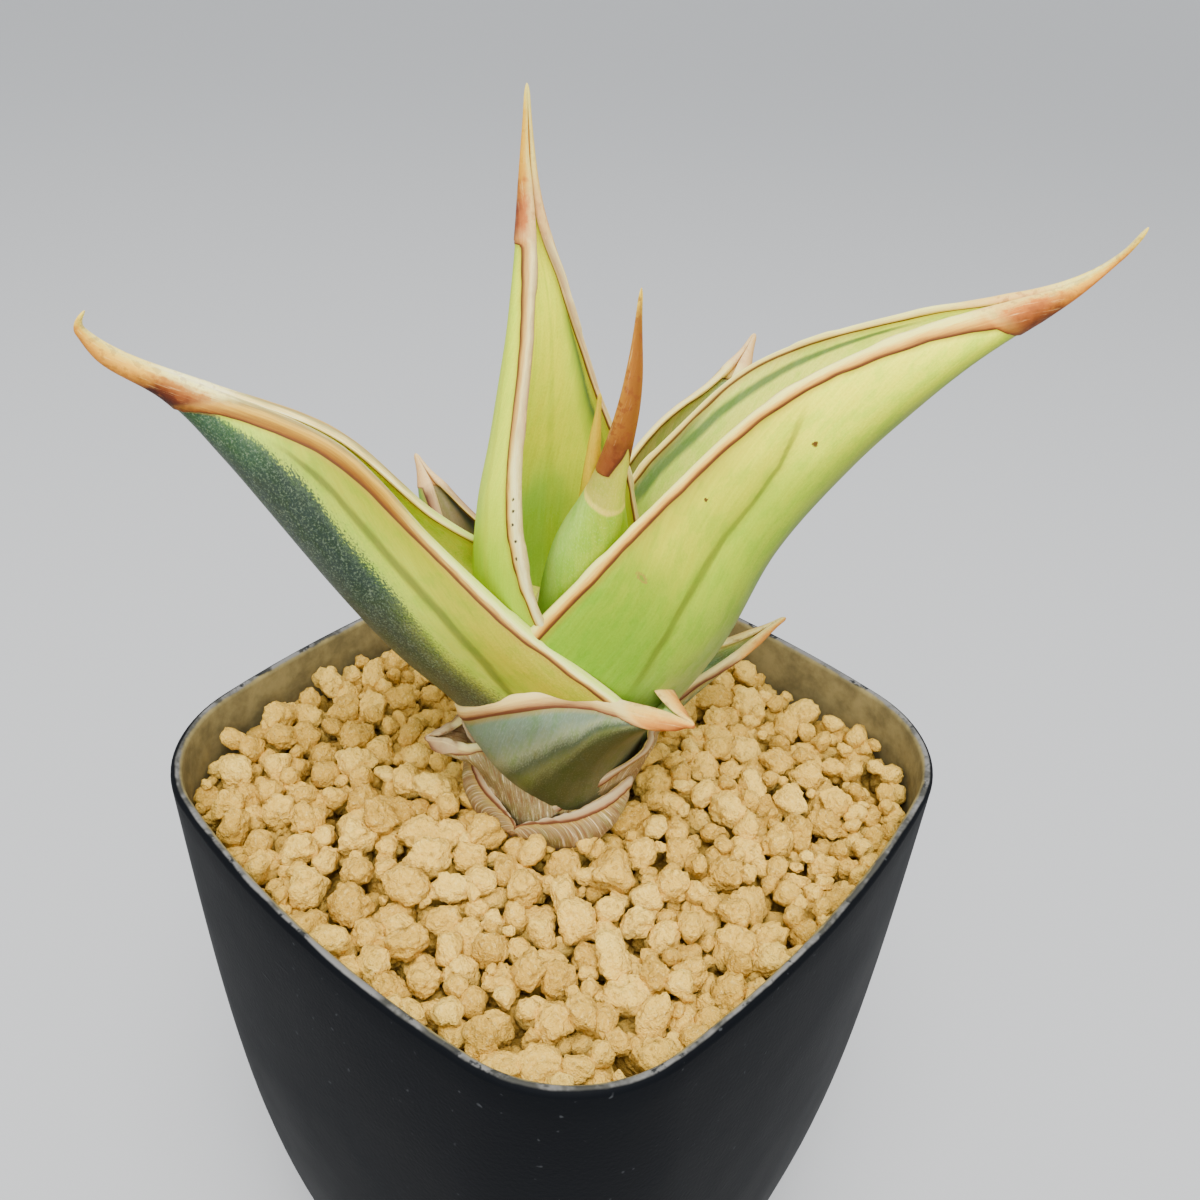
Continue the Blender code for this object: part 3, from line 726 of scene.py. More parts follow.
class LeafFinish(Finish):
    """A leaf's finish, with the facts of its mesh and the noises that run along it."""

    def __init__(self, name, seed, fuzz):
        super().__init__(name, {"Specular IOR Level": 0.14, "Subsurface Weight": 0.25,
                                "Subsurface Radius": (1.0, 0.8, 0.25), "Subsurface Scale": 0.003})
        self.seed = seed
        (self.girth, self.across, self.along, self.length,
         self.margin, self.band, self.share, self.crease) = (self.fact(fact) for fact in FACTS)
        self.where = self.place()
        self.flow = self.grown(0.4, 0.05, 0.0, 3.0, 0.55)
        self.threads = self.grown(3.0, 0.12, 40.0, 3.0, 0.6)
        self.specks = self.grown(5.0, 3.0, 0.0, 2.0, 0.6)
        fibre_place = self.vector(self.margin * 3.4, self.along * 0.3, seed + 60.0)
        self.strands = self.cloud(fibre_place, 1.0, 4.0, 0.65)
        self.reach = abs(self.girth) + (self.flow - 0.5) * 0.12 + (self.specks - 0.5) * fuzz
        self.in_channel = self.rise(self.margin, 0.02, -0.02)

    def grown(self, across, along, shift, detail, roughness):
        """A noise with its own stretch across and along the leaf."""
        place = self.vector(self.across * across, self.along * along, self.seed + shift)
        return self.cloud(place, 1.0, detail, roughness)

    def layers(self, reach, height, levels):
        """Ramps from the middle of a face to its margin, each taking over between two heights."""
        colour = self.ramp(reach, levels[0][2])
        for start, end, stops in levels[1:]:
            colour = self.blend(self.rise(height, start, end), colour, self.ramp(reach, stops))
        return colour

    def lined(self, skin, lines):
        """Long stripes and crease shadows, each along a path of (length, girth) points on one face."""
        for face, path, width, colour, strength in lines:
            off = abs(abs(self.girth) + (self.flow - 0.5) * 0.05 - self.curve(self.length, path))
            start, end = path[0][0], path[-1][0]
            shown = self.rise(off, width, width * 0.25) * self.rise(self.length, start, start + 0.06)
            shown = shown * self.rise(self.length, end, end - 0.06) * strength
            shown = shown * (self.in_channel if face == "channel" else 1 - self.in_channel)
            skin = self.blend(shown, skin, colour)
        return skin

    def weathered_and_crease_shaded(self, skin, mottled, bloom, keel_speckle, streaks):
        """Soft blotches and fine threads, painted shade in the creases, and bloom, keel speckle and dry
        fibres where asked for.
        """
        blotches = self.grown(0.5, 0.24, 30.0, 4.0, 0.65)
        skin = self.blend(self.rise(blotches, 0.45, 0.62) * mottled, skin, (0.78, 0.92, 0.6), "MULTIPLY")
        yellowed = self.rise(blotches, 0.46, 0.32) * mottled * 0.6
        skin = self.blend(yellowed, skin, (1.0, 0.93, 0.6), "MULTIPLY")
        tone = self.ramp(self.threads * 0.5 + self.specks * 0.5, [(0.32, 0.74, 0.76, 0.6), (0.62, 1, 1, 1)])
        skin = self.blend(0.8, skin, tone, "MULTIPLY")
        skin = self.blend(self.rise(self.specks, 0.52, 0.72) * bloom, skin, (0.5, 0.56, 0.36))
        if keel_speckle:
            zone = self.rise(self.reach, 0.6, 0.5) * (1 - self.in_channel) * keel_speckle
            felt = self.cloud(self.where, 3800.0, 3.0, 0.7)
            skin = self.blend(self.rise(felt, 0.5, 0.68) * zone, skin, (0.18, 0.23, 0.14))
            skin = self.blend(self.rise(felt, 0.5, 0.34) * zone, skin, (0.014, 0.024, 0.018))
        if streaks:
            fibres = self.grown(3.0, 0.3, 80.0, 4.0, 0.75)
            skin = self.blend(self.rise(fibres, 0.48, 0.62) * streaks, skin, (0.16, 0.06, 0.02))
            skin = self.blend(self.rise(fibres, 0.46, 0.32) * streaks, skin, (0.8, 0.62, 0.34))
        # Painted shade along the creases of the back.
        skin = self.blend(self.crease * 0.35, skin, (0.09, 0.11, 0.012))
        return self.blend(self.rise(self.band, -1.0, -0.05) * 0.4, skin, (0.42, 0.24, 0.02))

    def horned(self, band, lip, horn, freckles):
        """The raised band with its dark edge line, which runs into the horn at the tip."""
        fibred = self.share + (self.strands - 0.5) * 0.4
        colour = self.blend(self.in_channel, self.layers(fibred, self.length, band), self.ramp(fibred, lip))
        mottle = self.cloud(self.where, 900.0, 3.0, 0.6)
        reach = abs(self.girth) + (mottle - 0.5) * 0.3 + (self.strands - 0.5) * 0.1
        tip = self.layers(reach, self.length + (mottle - 0.5) * 0.06, horn)
        tip = self.blend(self.rise(mottle, 0.52, 0.62) * freckles, tip, (0.22, 0.055, 0.01))
        start = horn[0][0]
        colour = self.blend(self.rise(self.length, start - 0.02, start + 0.03), colour, tip)
        dark_line = self.rise(self.band, -0.22, 0.0) * self.rise(self.band, 0.5, 0.12)
        colour = self.blend(dark_line * 0.75, colour, (0.085, 0.024, 0.007))
        frayed = self.rise(self.strands, 0.56, 0.7) * self.rise(self.share, 0.5, 0.8) * 0.4
        return self.blend(frayed, colour, (0.9, 0.66, 0.26))

    def spotted(self, colour, spots):
        """Small marks: each has its girth and length, the mm across per girth, a radius and a colour."""
        for at_girth, at_length, wide, radius, mark in spots:
            off = self.vector((self.girth - at_girth) * wide, (self.length - at_length) * 90.0, 0.0)
            distance = self.node("ShaderNodeVectorMath", {"operation": "LENGTH"}, {0: off}, output=1)
            shown = self.rise(distance + (self.specks - 0.5) * 0.5, radius, radius * 0.5)
            colour = self.blend(shown, colour, mark)
        return colour


def leaf_finish(name, seed, back, channel, band, lip, horn, lines=(), spots=(),
                fuzz=0.05, ragged=0.14, mottled=0.8, bloom=0.0, keel_speckle=0.0, streaks=0.0,
                freckles=0.2, rough=0.42):
    """Waxy leaf skin under its horny band and horn. Ramps run from the keel or channel to the margin."""
    finish = LeafFinish(name, seed, fuzz)
    height = finish.length + (finish.grown(0.16, 0.09, 20.0, 3.0, 0.5) - 0.5) * ragged
    outside, inside = (finish.layers(finish.reach, height, levels) for levels in (back, channel))
    skin = finish.lined(finish.blend(finish.in_channel, outside, inside), lines)
    skin = finish.weathered_and_crease_shaded(skin, mottled, bloom, keel_speckle, streaks)
    on_band = finish.rise(finish.band, -0.12, 0.02)
    colour = finish.blend(on_band, skin, finish.horned(band, lip, horn, freckles))
    grain = finish.cloud(finish.where, 2600.0, 2.0)
    relief = grain * 0.3 + finish.threads * 0.35 + finish.strands * on_band * 1.1 + finish.specks * 0.25
    return finish.feed(
        Base_Color=finish.spotted(colour, spots),
        Roughness=rough + on_band * 0.12 + finish.flow * 0.1 + finish.specks * 0.06,
        Normal=finish.dents(relief, 0.09, 0.6))


LIP = [
    (0, 0.12, 0.04, 0.01), (0.2, 0.3, 0.19, 0.035), (0.5, 0.45, 0.32, 0.06), (0.75, 0.6, 0.42, 0.1),
    (1, 0.8, 0.58, 0.14)]
HORN_TIP = [(0, 0.9, 0.5, 0.03), (0.5, 0.95, 0.62, 0.05), (1, 0.95, 0.8, 0.2)]

heart = dict(
    azimuth=-8, rows=60, wall=1.2, side=1.0, rim=0.7, horn=0.3,
    keel=[(1.6, 10), (3.1, 28), (4.3, 46), (4.6, 61)],
    margin=[(-1.4, 11), (0, 29), (2.0, 47), (4.0, 61.4)],
    half=[1.8, 1.8, 1.2, 0.4], share=[0.5, 0.4, 0.4, 0.4], sway=[0, 0],
    edge=[(0, 0.93)],
    bead=0.05, lip=(0.25, 0.25), wave=0.1)
HEART_SKIN = [(0, 0.6, 0.38, 0.006), (0.6, 0.64, 0.42, 0.008), (1, 0.48, 0.26, 0.006)]
heart_finish = leaf_finish(
    "leaf_heart_skin", 1.0, [(0, 0, HEART_SKIN)], [(0, 0, HEART_SKIN)],
    [(0, 0, [(0, 0.4, 0.18, 0.02), (1, 0.8, 0.52, 0.14)])], LIP,
    [(0.93, 0, [(0, 0.55, 0.27, 0.02), (1, 0.8, 0.5, 0.08)])])
add_leaf("leaf_heart", "_spike", heart, heart_finish)

# Young leaf
# A rolled green leaf with a pale bloom along its sides. Its tip is a dry red-brown horn, mottled, which
# runs down into the green in a sharp V over a pale tan patch.

young = dict(
    azimuth=-8, rows=150, wall=2.2, side=1.4, rim=0.9, horn=0.7,
    keel=[(3.7, 0), (4.9, 14), (5.7, 27), (7.3, 38.2), (8.3, 49.9), (10.1, 62.2), (9.8, 74.1)],
    margin=[(-5.6, 8), (-5.1, 20), (-3.4, 32.1), (0.0, 42.4), (4.5, 51.7), (8.3, 62.1), (9.6, 74.2)],
    half=[4.5, 5.1, 5.3, 5.4, 2.1, 1.3, 0.4], share=[0.5, 0.5, 0.5, 0.4, 0.36, 0.4, 0.4],
    sway=[1.0, 1.1, 0.1, 0],
    edge=[(0, 0.93), (0.6, 0.93), (0.69, 0.9), (0.7, 0.3), (0.725, 0.2), (0.757, 0.0), (0.76, -1)],
    bead=0.06, lip=(0.4, 0.4), wave=0.25)
PLAIN_BAND = [(0, 0.12, 0.04, 0.01), (0.3, 0.36, 0.17, 0.03), (0.6, 0.6, 0.38, 0.08), (1, 0.8, 0.6, 0.2)]
N_LOW = [
    (0, 0.36, 0.5, 0.006), (0.25, 0.34, 0.48, 0.006), (0.42, 0.34, 0.52, 0.02), (0.58, 0.36, 0.56, 0.07),
    (1, 0.34, 0.5, 0.09)]
N_RIM = [(0, 0.75, 0.62, 0.08), (1, 0.75, 0.62, 0.1)]
N_TAN = [(0, 0.55, 0.55, 0.03), (0.3, 0.5, 0.46, 0.05), (0.7, 0.5, 0.43, 0.06), (1, 0.55, 0.46, 0.08)]
N_HORN_LOW = [
    (0, 0.13, 0.03, 0.006), (0.25, 0.15, 0.035, 0.008), (0.45, 0.24, 0.07, 0.014), (1, 0.32, 0.1, 0.02)]
N_HORN = [(0, 0.24, 0.078, 0.007), (0.3, 0.3, 0.105, 0.009), (0.5, 0.4, 0.16, 0.013), (1, 0.62, 0.34, 0.05)]
young_finish = leaf_finish(
    "leaf_young_skin", 2.0, [(0, 0, N_LOW), (0.63, 0.635, N_RIM), (0.638, 0.646, N_TAN)],
    [(0, 0, [(0, 0.45, 0.52, 0.02), (1, 0.3, 0.42, 0.02)])],
    [(0, 0, PLAIN_BAND)], LIP, [(0.68, 0, N_HORN_LOW), (0.73, 0.8, N_HORN), (0.95, 1.0, HORN_TIP)],
    ragged=0.03, bloom=0.12, freckles=0.75)
add_leaf("leaf_young", "_blade", young, young_finish)

# Tall leaf
# The upright leaf, thick and deeply channelled. Lime green with long yellow stripes, it has a broad cream
# horny margin with a brown edge and a long tan horn.

tall = dict(
    azimuth=175, rows=190, wall=2.6, side=1.5, rim=0.85, horn=0.8,
    keel=[(6.0, 0), (11.1, 13.5), (14.1, 27.5), (13.3, 41.3), (11.5, 53.8), (9.4, 67.3), (9.3, 79.7),
        (8.4, 90.5)],
    margin=[(-5.4, 12), (-5.9, 26), (-3.6, 38.5), (-0.6, 48.7), (2.7, 58.3), (5.0, 69.6), (7.4, 80.1),
        (8.1, 90.8)],
    half=[6.2, 7.6, 9.6, 9.0, 6.2, 3.8, 1.3, 0.5], share=[0.7, 0.8, 0.97, 0.98, 0.95, 0.74, 0.47, 0.4],
    sway=[0.1, 0.5, -0.3, 0.6],
    edge=[(0, 0.95), (0.27, 0.95), (0.3, 0.93), (0.38, 0.895), (0.45, 0.88), (0.5, 0.87), (0.55, 0.865),
        (0.62, 0.86), (0.66, 0.84), (0.7, 0.81), (0.74, 0.77), (0.79, 0.68), (0.8, 0.3), (0.815, 0),
        (0.83, -1)],
    bead=0.2, lip=(0.1, 0.3), cover=0.9, wave=0.35,
    flares=[(1, 5.0, [2.6, 2.0, 0.6] + [0] * 8, (-1, 1, -0.9))])
# Painted light: the lower back is painted brighter to make up for the shade that falls on it.
C_BACK_LOW_PAINTED_LIGHT = [(0, 0.35, 0.6, 0.01), (0.4, 0.42, 0.68, 0.004), (0.7, 0.44, 0.66, 0.003), (0.9, 0.42, 0.6, 0.004)]
C_HIGH = [(0, 0.4, 0.55, 0.01), (0.5, 0.5, 0.65, 0.02), (0.7, 0.75, 0.9, 0.01), (0.9, 0.78, 0.92, 0.01)]
C_IN_LOW = [
    (0, 0.4, 0.7, 0.05), (0.3, 0.4, 0.62, 0.04), (0.5, 0.5, 0.62, 0.02), (0.72, 0.62, 0.66, 0.008),
    (0.9, 0.6, 0.66, 0.01), (1, 0.45, 0.5, 0.02)]
# Painted light: the channel colours higher up, and the tall leaf's light mottling, are brightened to make
# up for the shade in its deep channel.
C_CHANNEL_MID_PAINTED_LIGHT = [
    (0, 0.92, 0.95, 0.01), (0.25, 0.93, 0.92, 0.003), (0.45, 0.88, 0.88, 0.002),
    (0.62, 0.82, 0.88, 0.003), (0.74, 0.42, 0.55, 0.03), (0.82, 0.12, 0.2, 0.07), (0.88, 0.55, 0.6, 0.02),
    (1, 0.6, 0.6, 0.03)]
C_CHANNEL_TOP_PAINTED_LIGHT = [(0, 0.93, 0.94, 0.01), (0.5, 0.92, 0.93, 0.01), (0.85, 0.85, 0.86, 0.02), (1, 0.7, 0.6, 0.05)]
C_BAND = [
    (0, 0.14, 0.05, 0.01), (0.08, 0.22, 0.09, 0.012), (0.17, 0.34, 0.2, 0.03), (0.27, 0.6, 0.36, 0.06),
    (0.4, 0.8, 0.6, 0.18), (0.6, 0.95, 0.86, 0.36), (0.75, 0.8, 0.7, 0.3), (0.88, 0.52, 0.42, 0.15),
    (1, 0.38, 0.3, 0.09)]
C_BAND_TOP = [
    (0, 0.2, 0.08, 0.02), (0.1, 0.34, 0.16, 0.035), (0.28, 0.5, 0.27, 0.055), (0.45, 0.66, 0.41, 0.11),
    (0.62, 0.86, 0.68, 0.26), (0.75, 0.56, 0.42, 0.18), (1, 0.38, 0.22, 0.09)]
C_LIP = [(0, 0.1, 0.035, 0.01), (0.25, 0.26, 0.13, 0.03), (0.5, 0.4, 0.25, 0.07), (1, 0.6, 0.43, 0.15)]
C_HORN_LOW = [
    (0.35, 0.14, 0.03, 0.01), (0.5, 0.24, 0.06, 0.018), (0.7, 0.5, 0.15, 0.03), (0.85, 0.8, 0.5, 0.16),
    (1, 0.6, 0.32, 0.11)]
C_HORN = [
    (0.3, 0.68, 0.26, 0.01), (0.5, 0.75, 0.34, 0.012), (0.7, 0.78, 0.4, 0.02), (0.85, 0.84, 0.58, 0.11),
    (1, 0.88, 0.7, 0.2)]
tall_finish = leaf_finish(
    "leaf_tall_skin", 3.0, [(0, 0, C_BACK_LOW_PAINTED_LIGHT), (0.3, 0.5, C_HIGH)],
    [(0, 0, C_IN_LOW), (0.38, 0.52, C_CHANNEL_MID_PAINTED_LIGHT), (0.66, 0.8, C_CHANNEL_TOP_PAINTED_LIGHT)],
    [(0, 0, C_BAND), (0.48, 0.56, C_BAND_TOP)], C_LIP,
    [(0.79, 0, C_HORN_LOW), (0.84, 0.91, C_HORN), (0.95, 1.0, HORN_TIP)], mottled=0.35,
    lines=[
        ("channel", [(0.2, 0.3), (0.4, 0.32), (0.6, 0.3), (0.8, 0.3)], 0.06, (0.5, 0.62, 0.01), 0.3),
        ("channel", [(0.25, 0.58), (0.45, 0.6), (0.65, 0.55), (0.8, 0.5)], 0.05, (0.85, 0.88, 0.01), 0.6),
        ("back", [(0.1, 0.6), (0.4, 0.66), (0.7, 0.6)], 0.05, (0.5, 0.6, 0.01), 0.4)],
    spots=[(at_girth, at_length, 22.0, 0.3, (0.05, 0.04, 0.02)) for at_girth, at_length in (
        (0.953, 0.438), (0.956, 0.42), (0.948, 0.399), (0.96, 0.372), (0.95, 0.344))])
add_leaf("leaf_tall", "_blade", tall, tall_finish)

# Large right leaf
# The longest leaf, pale yellow-green and waxy, greener towards its base and dull along its keel, with a
# long soft crease. Its margins are raised bands, and its channel has a blue-green stripe along each side.

R_CREASE = [
    (0.18, 0.47), (0.21, 0.48), (0.25, 0.51), (0.3, 0.55), (0.36, 0.58), (0.42, 0.61), (0.47, 0.61),
    (0.52, 0.65), (0.56, 0.75), (0.6, 0.87)]
R_STRIPE = [(0.3, 0.9), (0.45, 0.88), (0.5, 0.87), (0.55, 0.82), (0.62, 0.78), (0.68, 0.72), (0.74, 0.63)]
big_right = dict(
    azimuth=45, rows=210, wall=3.6, side=2.0, rim=1.3, horn=0.83,
    keel=[(7, 0), (13.1, 12.6), (20.6, 25.8), (26.2, 39.9), (34.4, 51.2), (45.4, 63.6), (54.8, 71.9),
        (60.8, 79.2)],
    margin=[(-6.5, 11), (-6.8, 27), (3.2, 40.3), (12.0, 50.6), (22.7, 60.9), (37.8, 68.2), (54.0, 73.6),
        (60.2, 79.8)],
    half=[7.4, 9.1, 9.1, 8.1, 6.9, 4.9, 1.5, 0.5], share=[0.65, 0.8, 0.66, 0.78, 0.88, 0.66, 0.42, 0.4],
    sway=[0, 0.3, 2.2, -1.5],
    edge=[(0, 0.93), (0.4, 0.935), (0.5, 0.93), (0.58, 0.92), (0.63, 0.9), (0.68, 0.85), (0.715, 0.8),
        (0.75, 0.7), (0.77, 0.6), (0.775, 0.4), (0.78, 0.3), (0.79, 0), (0.8, -1)],
    bead=0.22, lip=(0.4, 0.15), wave=0.35, hook=(-0.2, 0.9), cover=0.88,
    flares=[(-1, 6.0, [0, 0.6, 1.9, 2.5, 1.2] + [0] * 6, (1, 0, 0.62)),
        (1, 6.0, [2, 5, 5.5, 1.5] + [0] * 7, (0, 1, 0))],
    creases=[(R_CREASE, 0.4, 1.4)])
R_LOW = [
    (0, 0.2, 0.25, 0.1), (0.2, 0.26, 0.33, 0.11), (0.35, 0.25, 0.34, 0.06), (0.5, 0.22, 0.38, 0.02),
    (0.7, 0.2, 0.38, 0.006), (0.9, 0.24, 0.42, 0.006)]
R_MID = [
    (0, 0.08, 0.1, 0.04), (0.15, 0.12, 0.16, 0.04), (0.27, 0.24, 0.34, 0.02), (0.42, 0.40, 0.54, 0.004),
    (0.58, 0.45, 0.58, 0.003), (0.66, 0.50, 0.56, 0.003), (0.82, 0.62, 0.62, 0.003),
    (0.94, 0.4, 0.38, 0.006)]
R_HIGH = [
    (0, 0.12, 0.14, 0.05), (0.25, 0.22, 0.28, 0.03), (0.4, 0.5, 0.6, 0.008), (0.55, 0.85, 0.93, 0.01),
    (0.7, 0.95, 0.95, 0.02), (0.84, 0.94, 0.92, 0.02), (1, 0.75, 0.6, 0.03)]
R_IN_LOW = [(0, 0.6, 0.75, 0.05), (0.5, 0.8, 0.92, 0.1), (0.8, 0.8, 0.92, 0.16), (1, 0.7, 0.8, 0.2)]
R_IN_HIGH = [(0, 0.9, 0.93, 0.1), (0.5, 0.94, 0.95, 0.14), (0.85, 0.94, 0.95, 0.18), (1, 0.9, 0.85, 0.2)]
TEAL = (0.09, 0.2, 0.11)
R_BAND = [
    (0, 0.12, 0.04, 0.01), (0.06, 0.22, 0.08, 0.012), (0.16, 0.34, 0.135, 0.018),
    (0.28, 0.6, 0.29, 0.028), (0.42, 0.8, 0.47, 0.065), (0.57, 0.92, 0.76, 0.16),
    (0.76, 0.94, 0.87, 0.22), (1, 0.62, 0.46, 0.12)]
R_HORN_LOW = [
    (0.3, 0.09, 0.02, 0.005), (0.5, 0.19, 0.05, 0.008), (0.62, 0.34, 0.09, 0.009),
    (0.74, 0.56, 0.17, 0.012), (0.86, 0.84, 0.56, 0.12), (1, 0.82, 0.46, 0.13)]
HORN = [
    (0.25, 0.36, 0.1, 0.008), (0.45, 0.52, 0.17, 0.01), (0.68, 0.8, 0.38, 0.015), (0.84, 0.92, 0.7, 0.13),
    (1, 0.93, 0.82, 0.28)]
big_right_finish = leaf_finish(
    "leaf_big_right_skin", 4.0, [(0, 0, R_LOW), (0.22, 0.42, R_MID), (0.45, 0.62, R_HIGH)],
    [(0, 0, R_IN_LOW), (0.3, 0.55, R_IN_HIGH)], [(0, 0, R_BAND)], LIP,
    [(0.765, 0, R_HORN_LOW), (0.82, 0.87, HORN), (0.95, 1.0, HORN_TIP)],
    lines=(("back", R_CREASE, 0.026, (0.08, 0.12, 0.012), 0.55),
           ("channel", R_STRIPE, 0.065, TEAL, 0.85),
           ("channel", [(0.25, 0.97), (0.32, 0.95), (0.45, 0.95), (0.52, 0.97)], 0.05, TEAL, 0.8)),
    spots=((-0.61, 0.565, 16.0, 0.4, (0.12, 0.05, 0.008)), (-0.82, 0.44, 16.0, 0.25, (0.1, 0.04, 0.008)),
           (-0.80, 0.315, 12.0, 0.5, (0.34, 0.24, 0.03)), (-0.80, 0.315, 12.0, 0.28, (0.2, 0.32, 0.01))),
    freckles=0.4)
add_leaf("leaf_big_right", "_blade", big_right, big_right_finish)

# Large left leaf
# A thick lime-yellow leaf with a dark blue-green speckled band along its keel and a soft crease beside it,
# darkened by painted shade. Its raised tan margins meet in a horn with a red-brown patch beneath it.

L_CREASE = [(0.15, 0.56), (0.21, 0.62), (0.27, 0.69), (0.35, 0.71), (0.45, 0.7), (0.55, 0.68), (0.62, 0.66)]
big_left = dict(
    azimuth=226, rows=200, wall=3.6, side=2.0, rim=1.3, horn=0.74,
    keel=[(8, 0), (13.2, 15.4), (23.6, 28.5), (32.6, 41.2), (40.1, 51.2), (45.6, 57.5), (51.3, 62.1),
        (54.1, 67.2)],
    margin=[(-8.4, 9), (-7.7, 20.8), (4.7, 32.2), (16.4, 42.3), (27.1, 53.0), (41.1, 59.2), (49.5, 63.3),
        (52.9, 67.7)],
    half=[8.4, 10.9, 10.4, 8.2, 5.8, 2.0, 1.35, 0.5],
    share=[0.64, 0.91, 0.79, 0.45, 0.28, 0.37, 0.4, 0.4], sway=[0, 0.7, -1.9, 0.5],
    edge=[(0, 0.955), (0.12, 0.945), (0.23, 0.925), (0.26, 0.93), (0.28, 0.915), (0.32, 0.9),
        (0.42, 0.89), (0.47, 0.87), (0.53, 0.84), (0.58, 0.8), (0.62, 0.75), (0.65, 0.68), (0.67, 0.6),
        (0.685, 0.45), (0.69, 0.3), (0.7, 0), (0.71, -1)],
    bead=0.24, lip=(0.15, 0.4), wave=0.35, hook=(-1.9, 0.7), cover=0.8,
    flares=[(-1, 5.0, [0] * 4 + [0.6, 3.8, 3.6, 1.1] + [0] * 13, (1, 1, 0))],
    creases=[(L_CREASE, 0.4, 1.4)])
L_LOW = [
    (0, 0.05, 0.055, 0.03), (0.2, 0.062, 0.066, 0.027), (0.45, 0.055, 0.06, 0.028),
    (0.53, 0.12, 0.13, 0.03), (0.6, 0.34, 0.38, 0.03), (0.7, 0.30, 0.31, 0.01), (0.8, 0.32, 0.27, 0.003),
    (0.9, 0.36, 0.32, 0.01), (1, 0.45, 0.45, 0.05)]
L_MID = [
    (0, 0.04, 0.052, 0.036), (0.2, 0.044, 0.057, 0.043), (0.35, 0.034, 0.048, 0.034),
    (0.52, 0.02, 0.034, 0.024), (0.575, 0.05, 0.08, 0.035), (0.6, 0.32, 0.41, 0.03),
    (0.68, 0.37, 0.44, 0.012), (0.75, 0.34, 0.36, 0.004), (0.88, 0.3, 0.3, 0.002)]
L_HIGH = [
    (0, 0.045, 0.06, 0.035), (0.15, 0.03, 0.06, 0.03), (0.5, 0.035, 0.08, 0.036),
    (0.56, 0.08, 0.14, 0.05), (0.6, 0.42, 0.56, 0.03), (0.75, 0.54, 0.68, 0.01), (1, 0.55, 0.6, 0.02)]
L_BAND_LOW = [
    (0, 0.1, 0.04, 0.008), (0.12, 0.26, 0.12, 0.02), (0.26, 0.48, 0.28, 0.05), (0.4, 0.85, 0.76, 0.24),
    (0.52, 0.72, 0.78, 0.2), (0.7, 0.55, 0.66, 0.08), (0.86, 0.66, 0.72, 0.14), (1, 0.85, 0.72, 0.22)]
L_BAND = [
    (0, 0.1, 0.035, 0.006), (0.12, 0.2, 0.07, 0.005), (0.27, 0.27, 0.12, 0.008),
    (0.42, 0.46, 0.24, 0.014), (0.57, 0.6, 0.36, 0.05), (0.7, 0.3, 0.2, 0.05), (0.84, 0.4, 0.34, 0.12),
    (0.94, 0.9, 0.66, 0.2), (1, 0.94, 0.84, 0.4)]
L_HORN_LOW = [
    (0.25, 0.04, 0.008, 0.004), (0.45, 0.11, 0.022, 0.006), (0.6, 0.25, 0.07, 0.01),
    (0.72, 0.44, 0.18, 0.022), (0.86, 0.93, 0.8, 0.26), (1, 0.94, 0.86, 0.45)]
L_HORN = [
    (0.25, 0.45, 0.16, 0.012), (0.45, 0.6, 0.25, 0.018), (0.68, 0.8, 0.42, 0.03), (0.84, 0.88, 0.6, 0.1),
    (1, 0.9, 0.74, 0.22)]
# Painted light: the channel colour is painted brighter to make up for the shade in the narrow channel.
L_CHANNEL_PAINTED_LIGHT = [(0, 0.92, 0.95, 0.05), (0.8, 0.94, 0.95, 0.08), (1, 0.8, 0.66, 0.1)]
big_left_finish = leaf_finish(
    "leaf_big_left_skin", 5.0, [(0, 0, L_LOW), (0.25, 0.42, L_MID), (0.55, 0.66, L_HIGH)],
    [(0, 0, L_CHANNEL_PAINTED_LIGHT)], [(0, 0, L_BAND_LOW), (0.4, 0.5, L_BAND)], LIP,
    [(0.685, 0, L_HORN_LOW), (0.75, 0.81, L_HORN), (0.95, 1.0, HORN_TIP)],
    lines=(("back", L_CREASE, 0.03, (0.088, 0.099, 0.012), 0.7),),
    fuzz=0.18, keel_speckle=0.5, freckles=0.4)
add_leaf("leaf_big_left", "_blade", big_left, big_left_finish)

# Leaves behind
# Two older leaves that stand behind the others. Both are waxy and green, one with a blue-green and one
# with a reddish channel, between pinkish tan margins.

back_right = dict(
    azimuth=87, rows=120, wall=1.8, side=1.2, rim=0.9, horn=0.85,
    keel=[(8.8, 0), (17, 14), (24, 28), (28, 40), (31, 50), (34.2, 59.5)],
    margin=[(-2, 14), (4, 28), (13, 40), (21, 49), (28, 54.5), (33.4, 60.2)],
    half=[9.0, 9.8, 8.0, 6.0, 2.8, 0.5], share=[0.95, 0.9, 0.85, 0.8, 0.6, 0.4], sway=[0, 0],
    edge=[(0, 0.93), (0.7, 0.92), (0.84, 0.8), (0.87, 0), (0.88, -1)],
    bead=0.18, lip=(0.4, 0.4), wave=0.3)
back_left = dict(
    azimuth=170, rows=100, wall=1.5, side=1.1, rim=0.9, horn=0.9,
    keel=[(9.2, 0), (17, 9), (25, 18), (32, 27.5), (38, 37.5)],
    margin=[(-1, 12), (7, 20), (17, 26.5), (27, 32), (37, 38)],
    half=[9.4, 9.4, 7.0, 3.5, 0.5], share=[0.97, 0.95, 0.9, 0.8, 0.4], sway=[0, 0],
    edge=[(0, 0.93), (0.75, 0.9), (0.88, 0.7), (0.9, 0), (0.91, -1)],
    bead=0.18, lip=(0.4, 0.4), wave=0.3)
PINK_BAND = [
    (0, 0.1, 0.035, 0.012), (0.12, 0.14, 0.055, 0.02), (0.25, 0.28, 0.15, 0.05), (0.4, 0.46, 0.32, 0.1),
    (0.55, 0.72, 0.55, 0.18), (1, 0.86, 0.74, 0.28)]
GREEN_BACK = [(0, 0.1, 0.17, 0.04), (0.5, 0.18, 0.28, 0.03), (1, 0.26, 0.32, 0.05)]
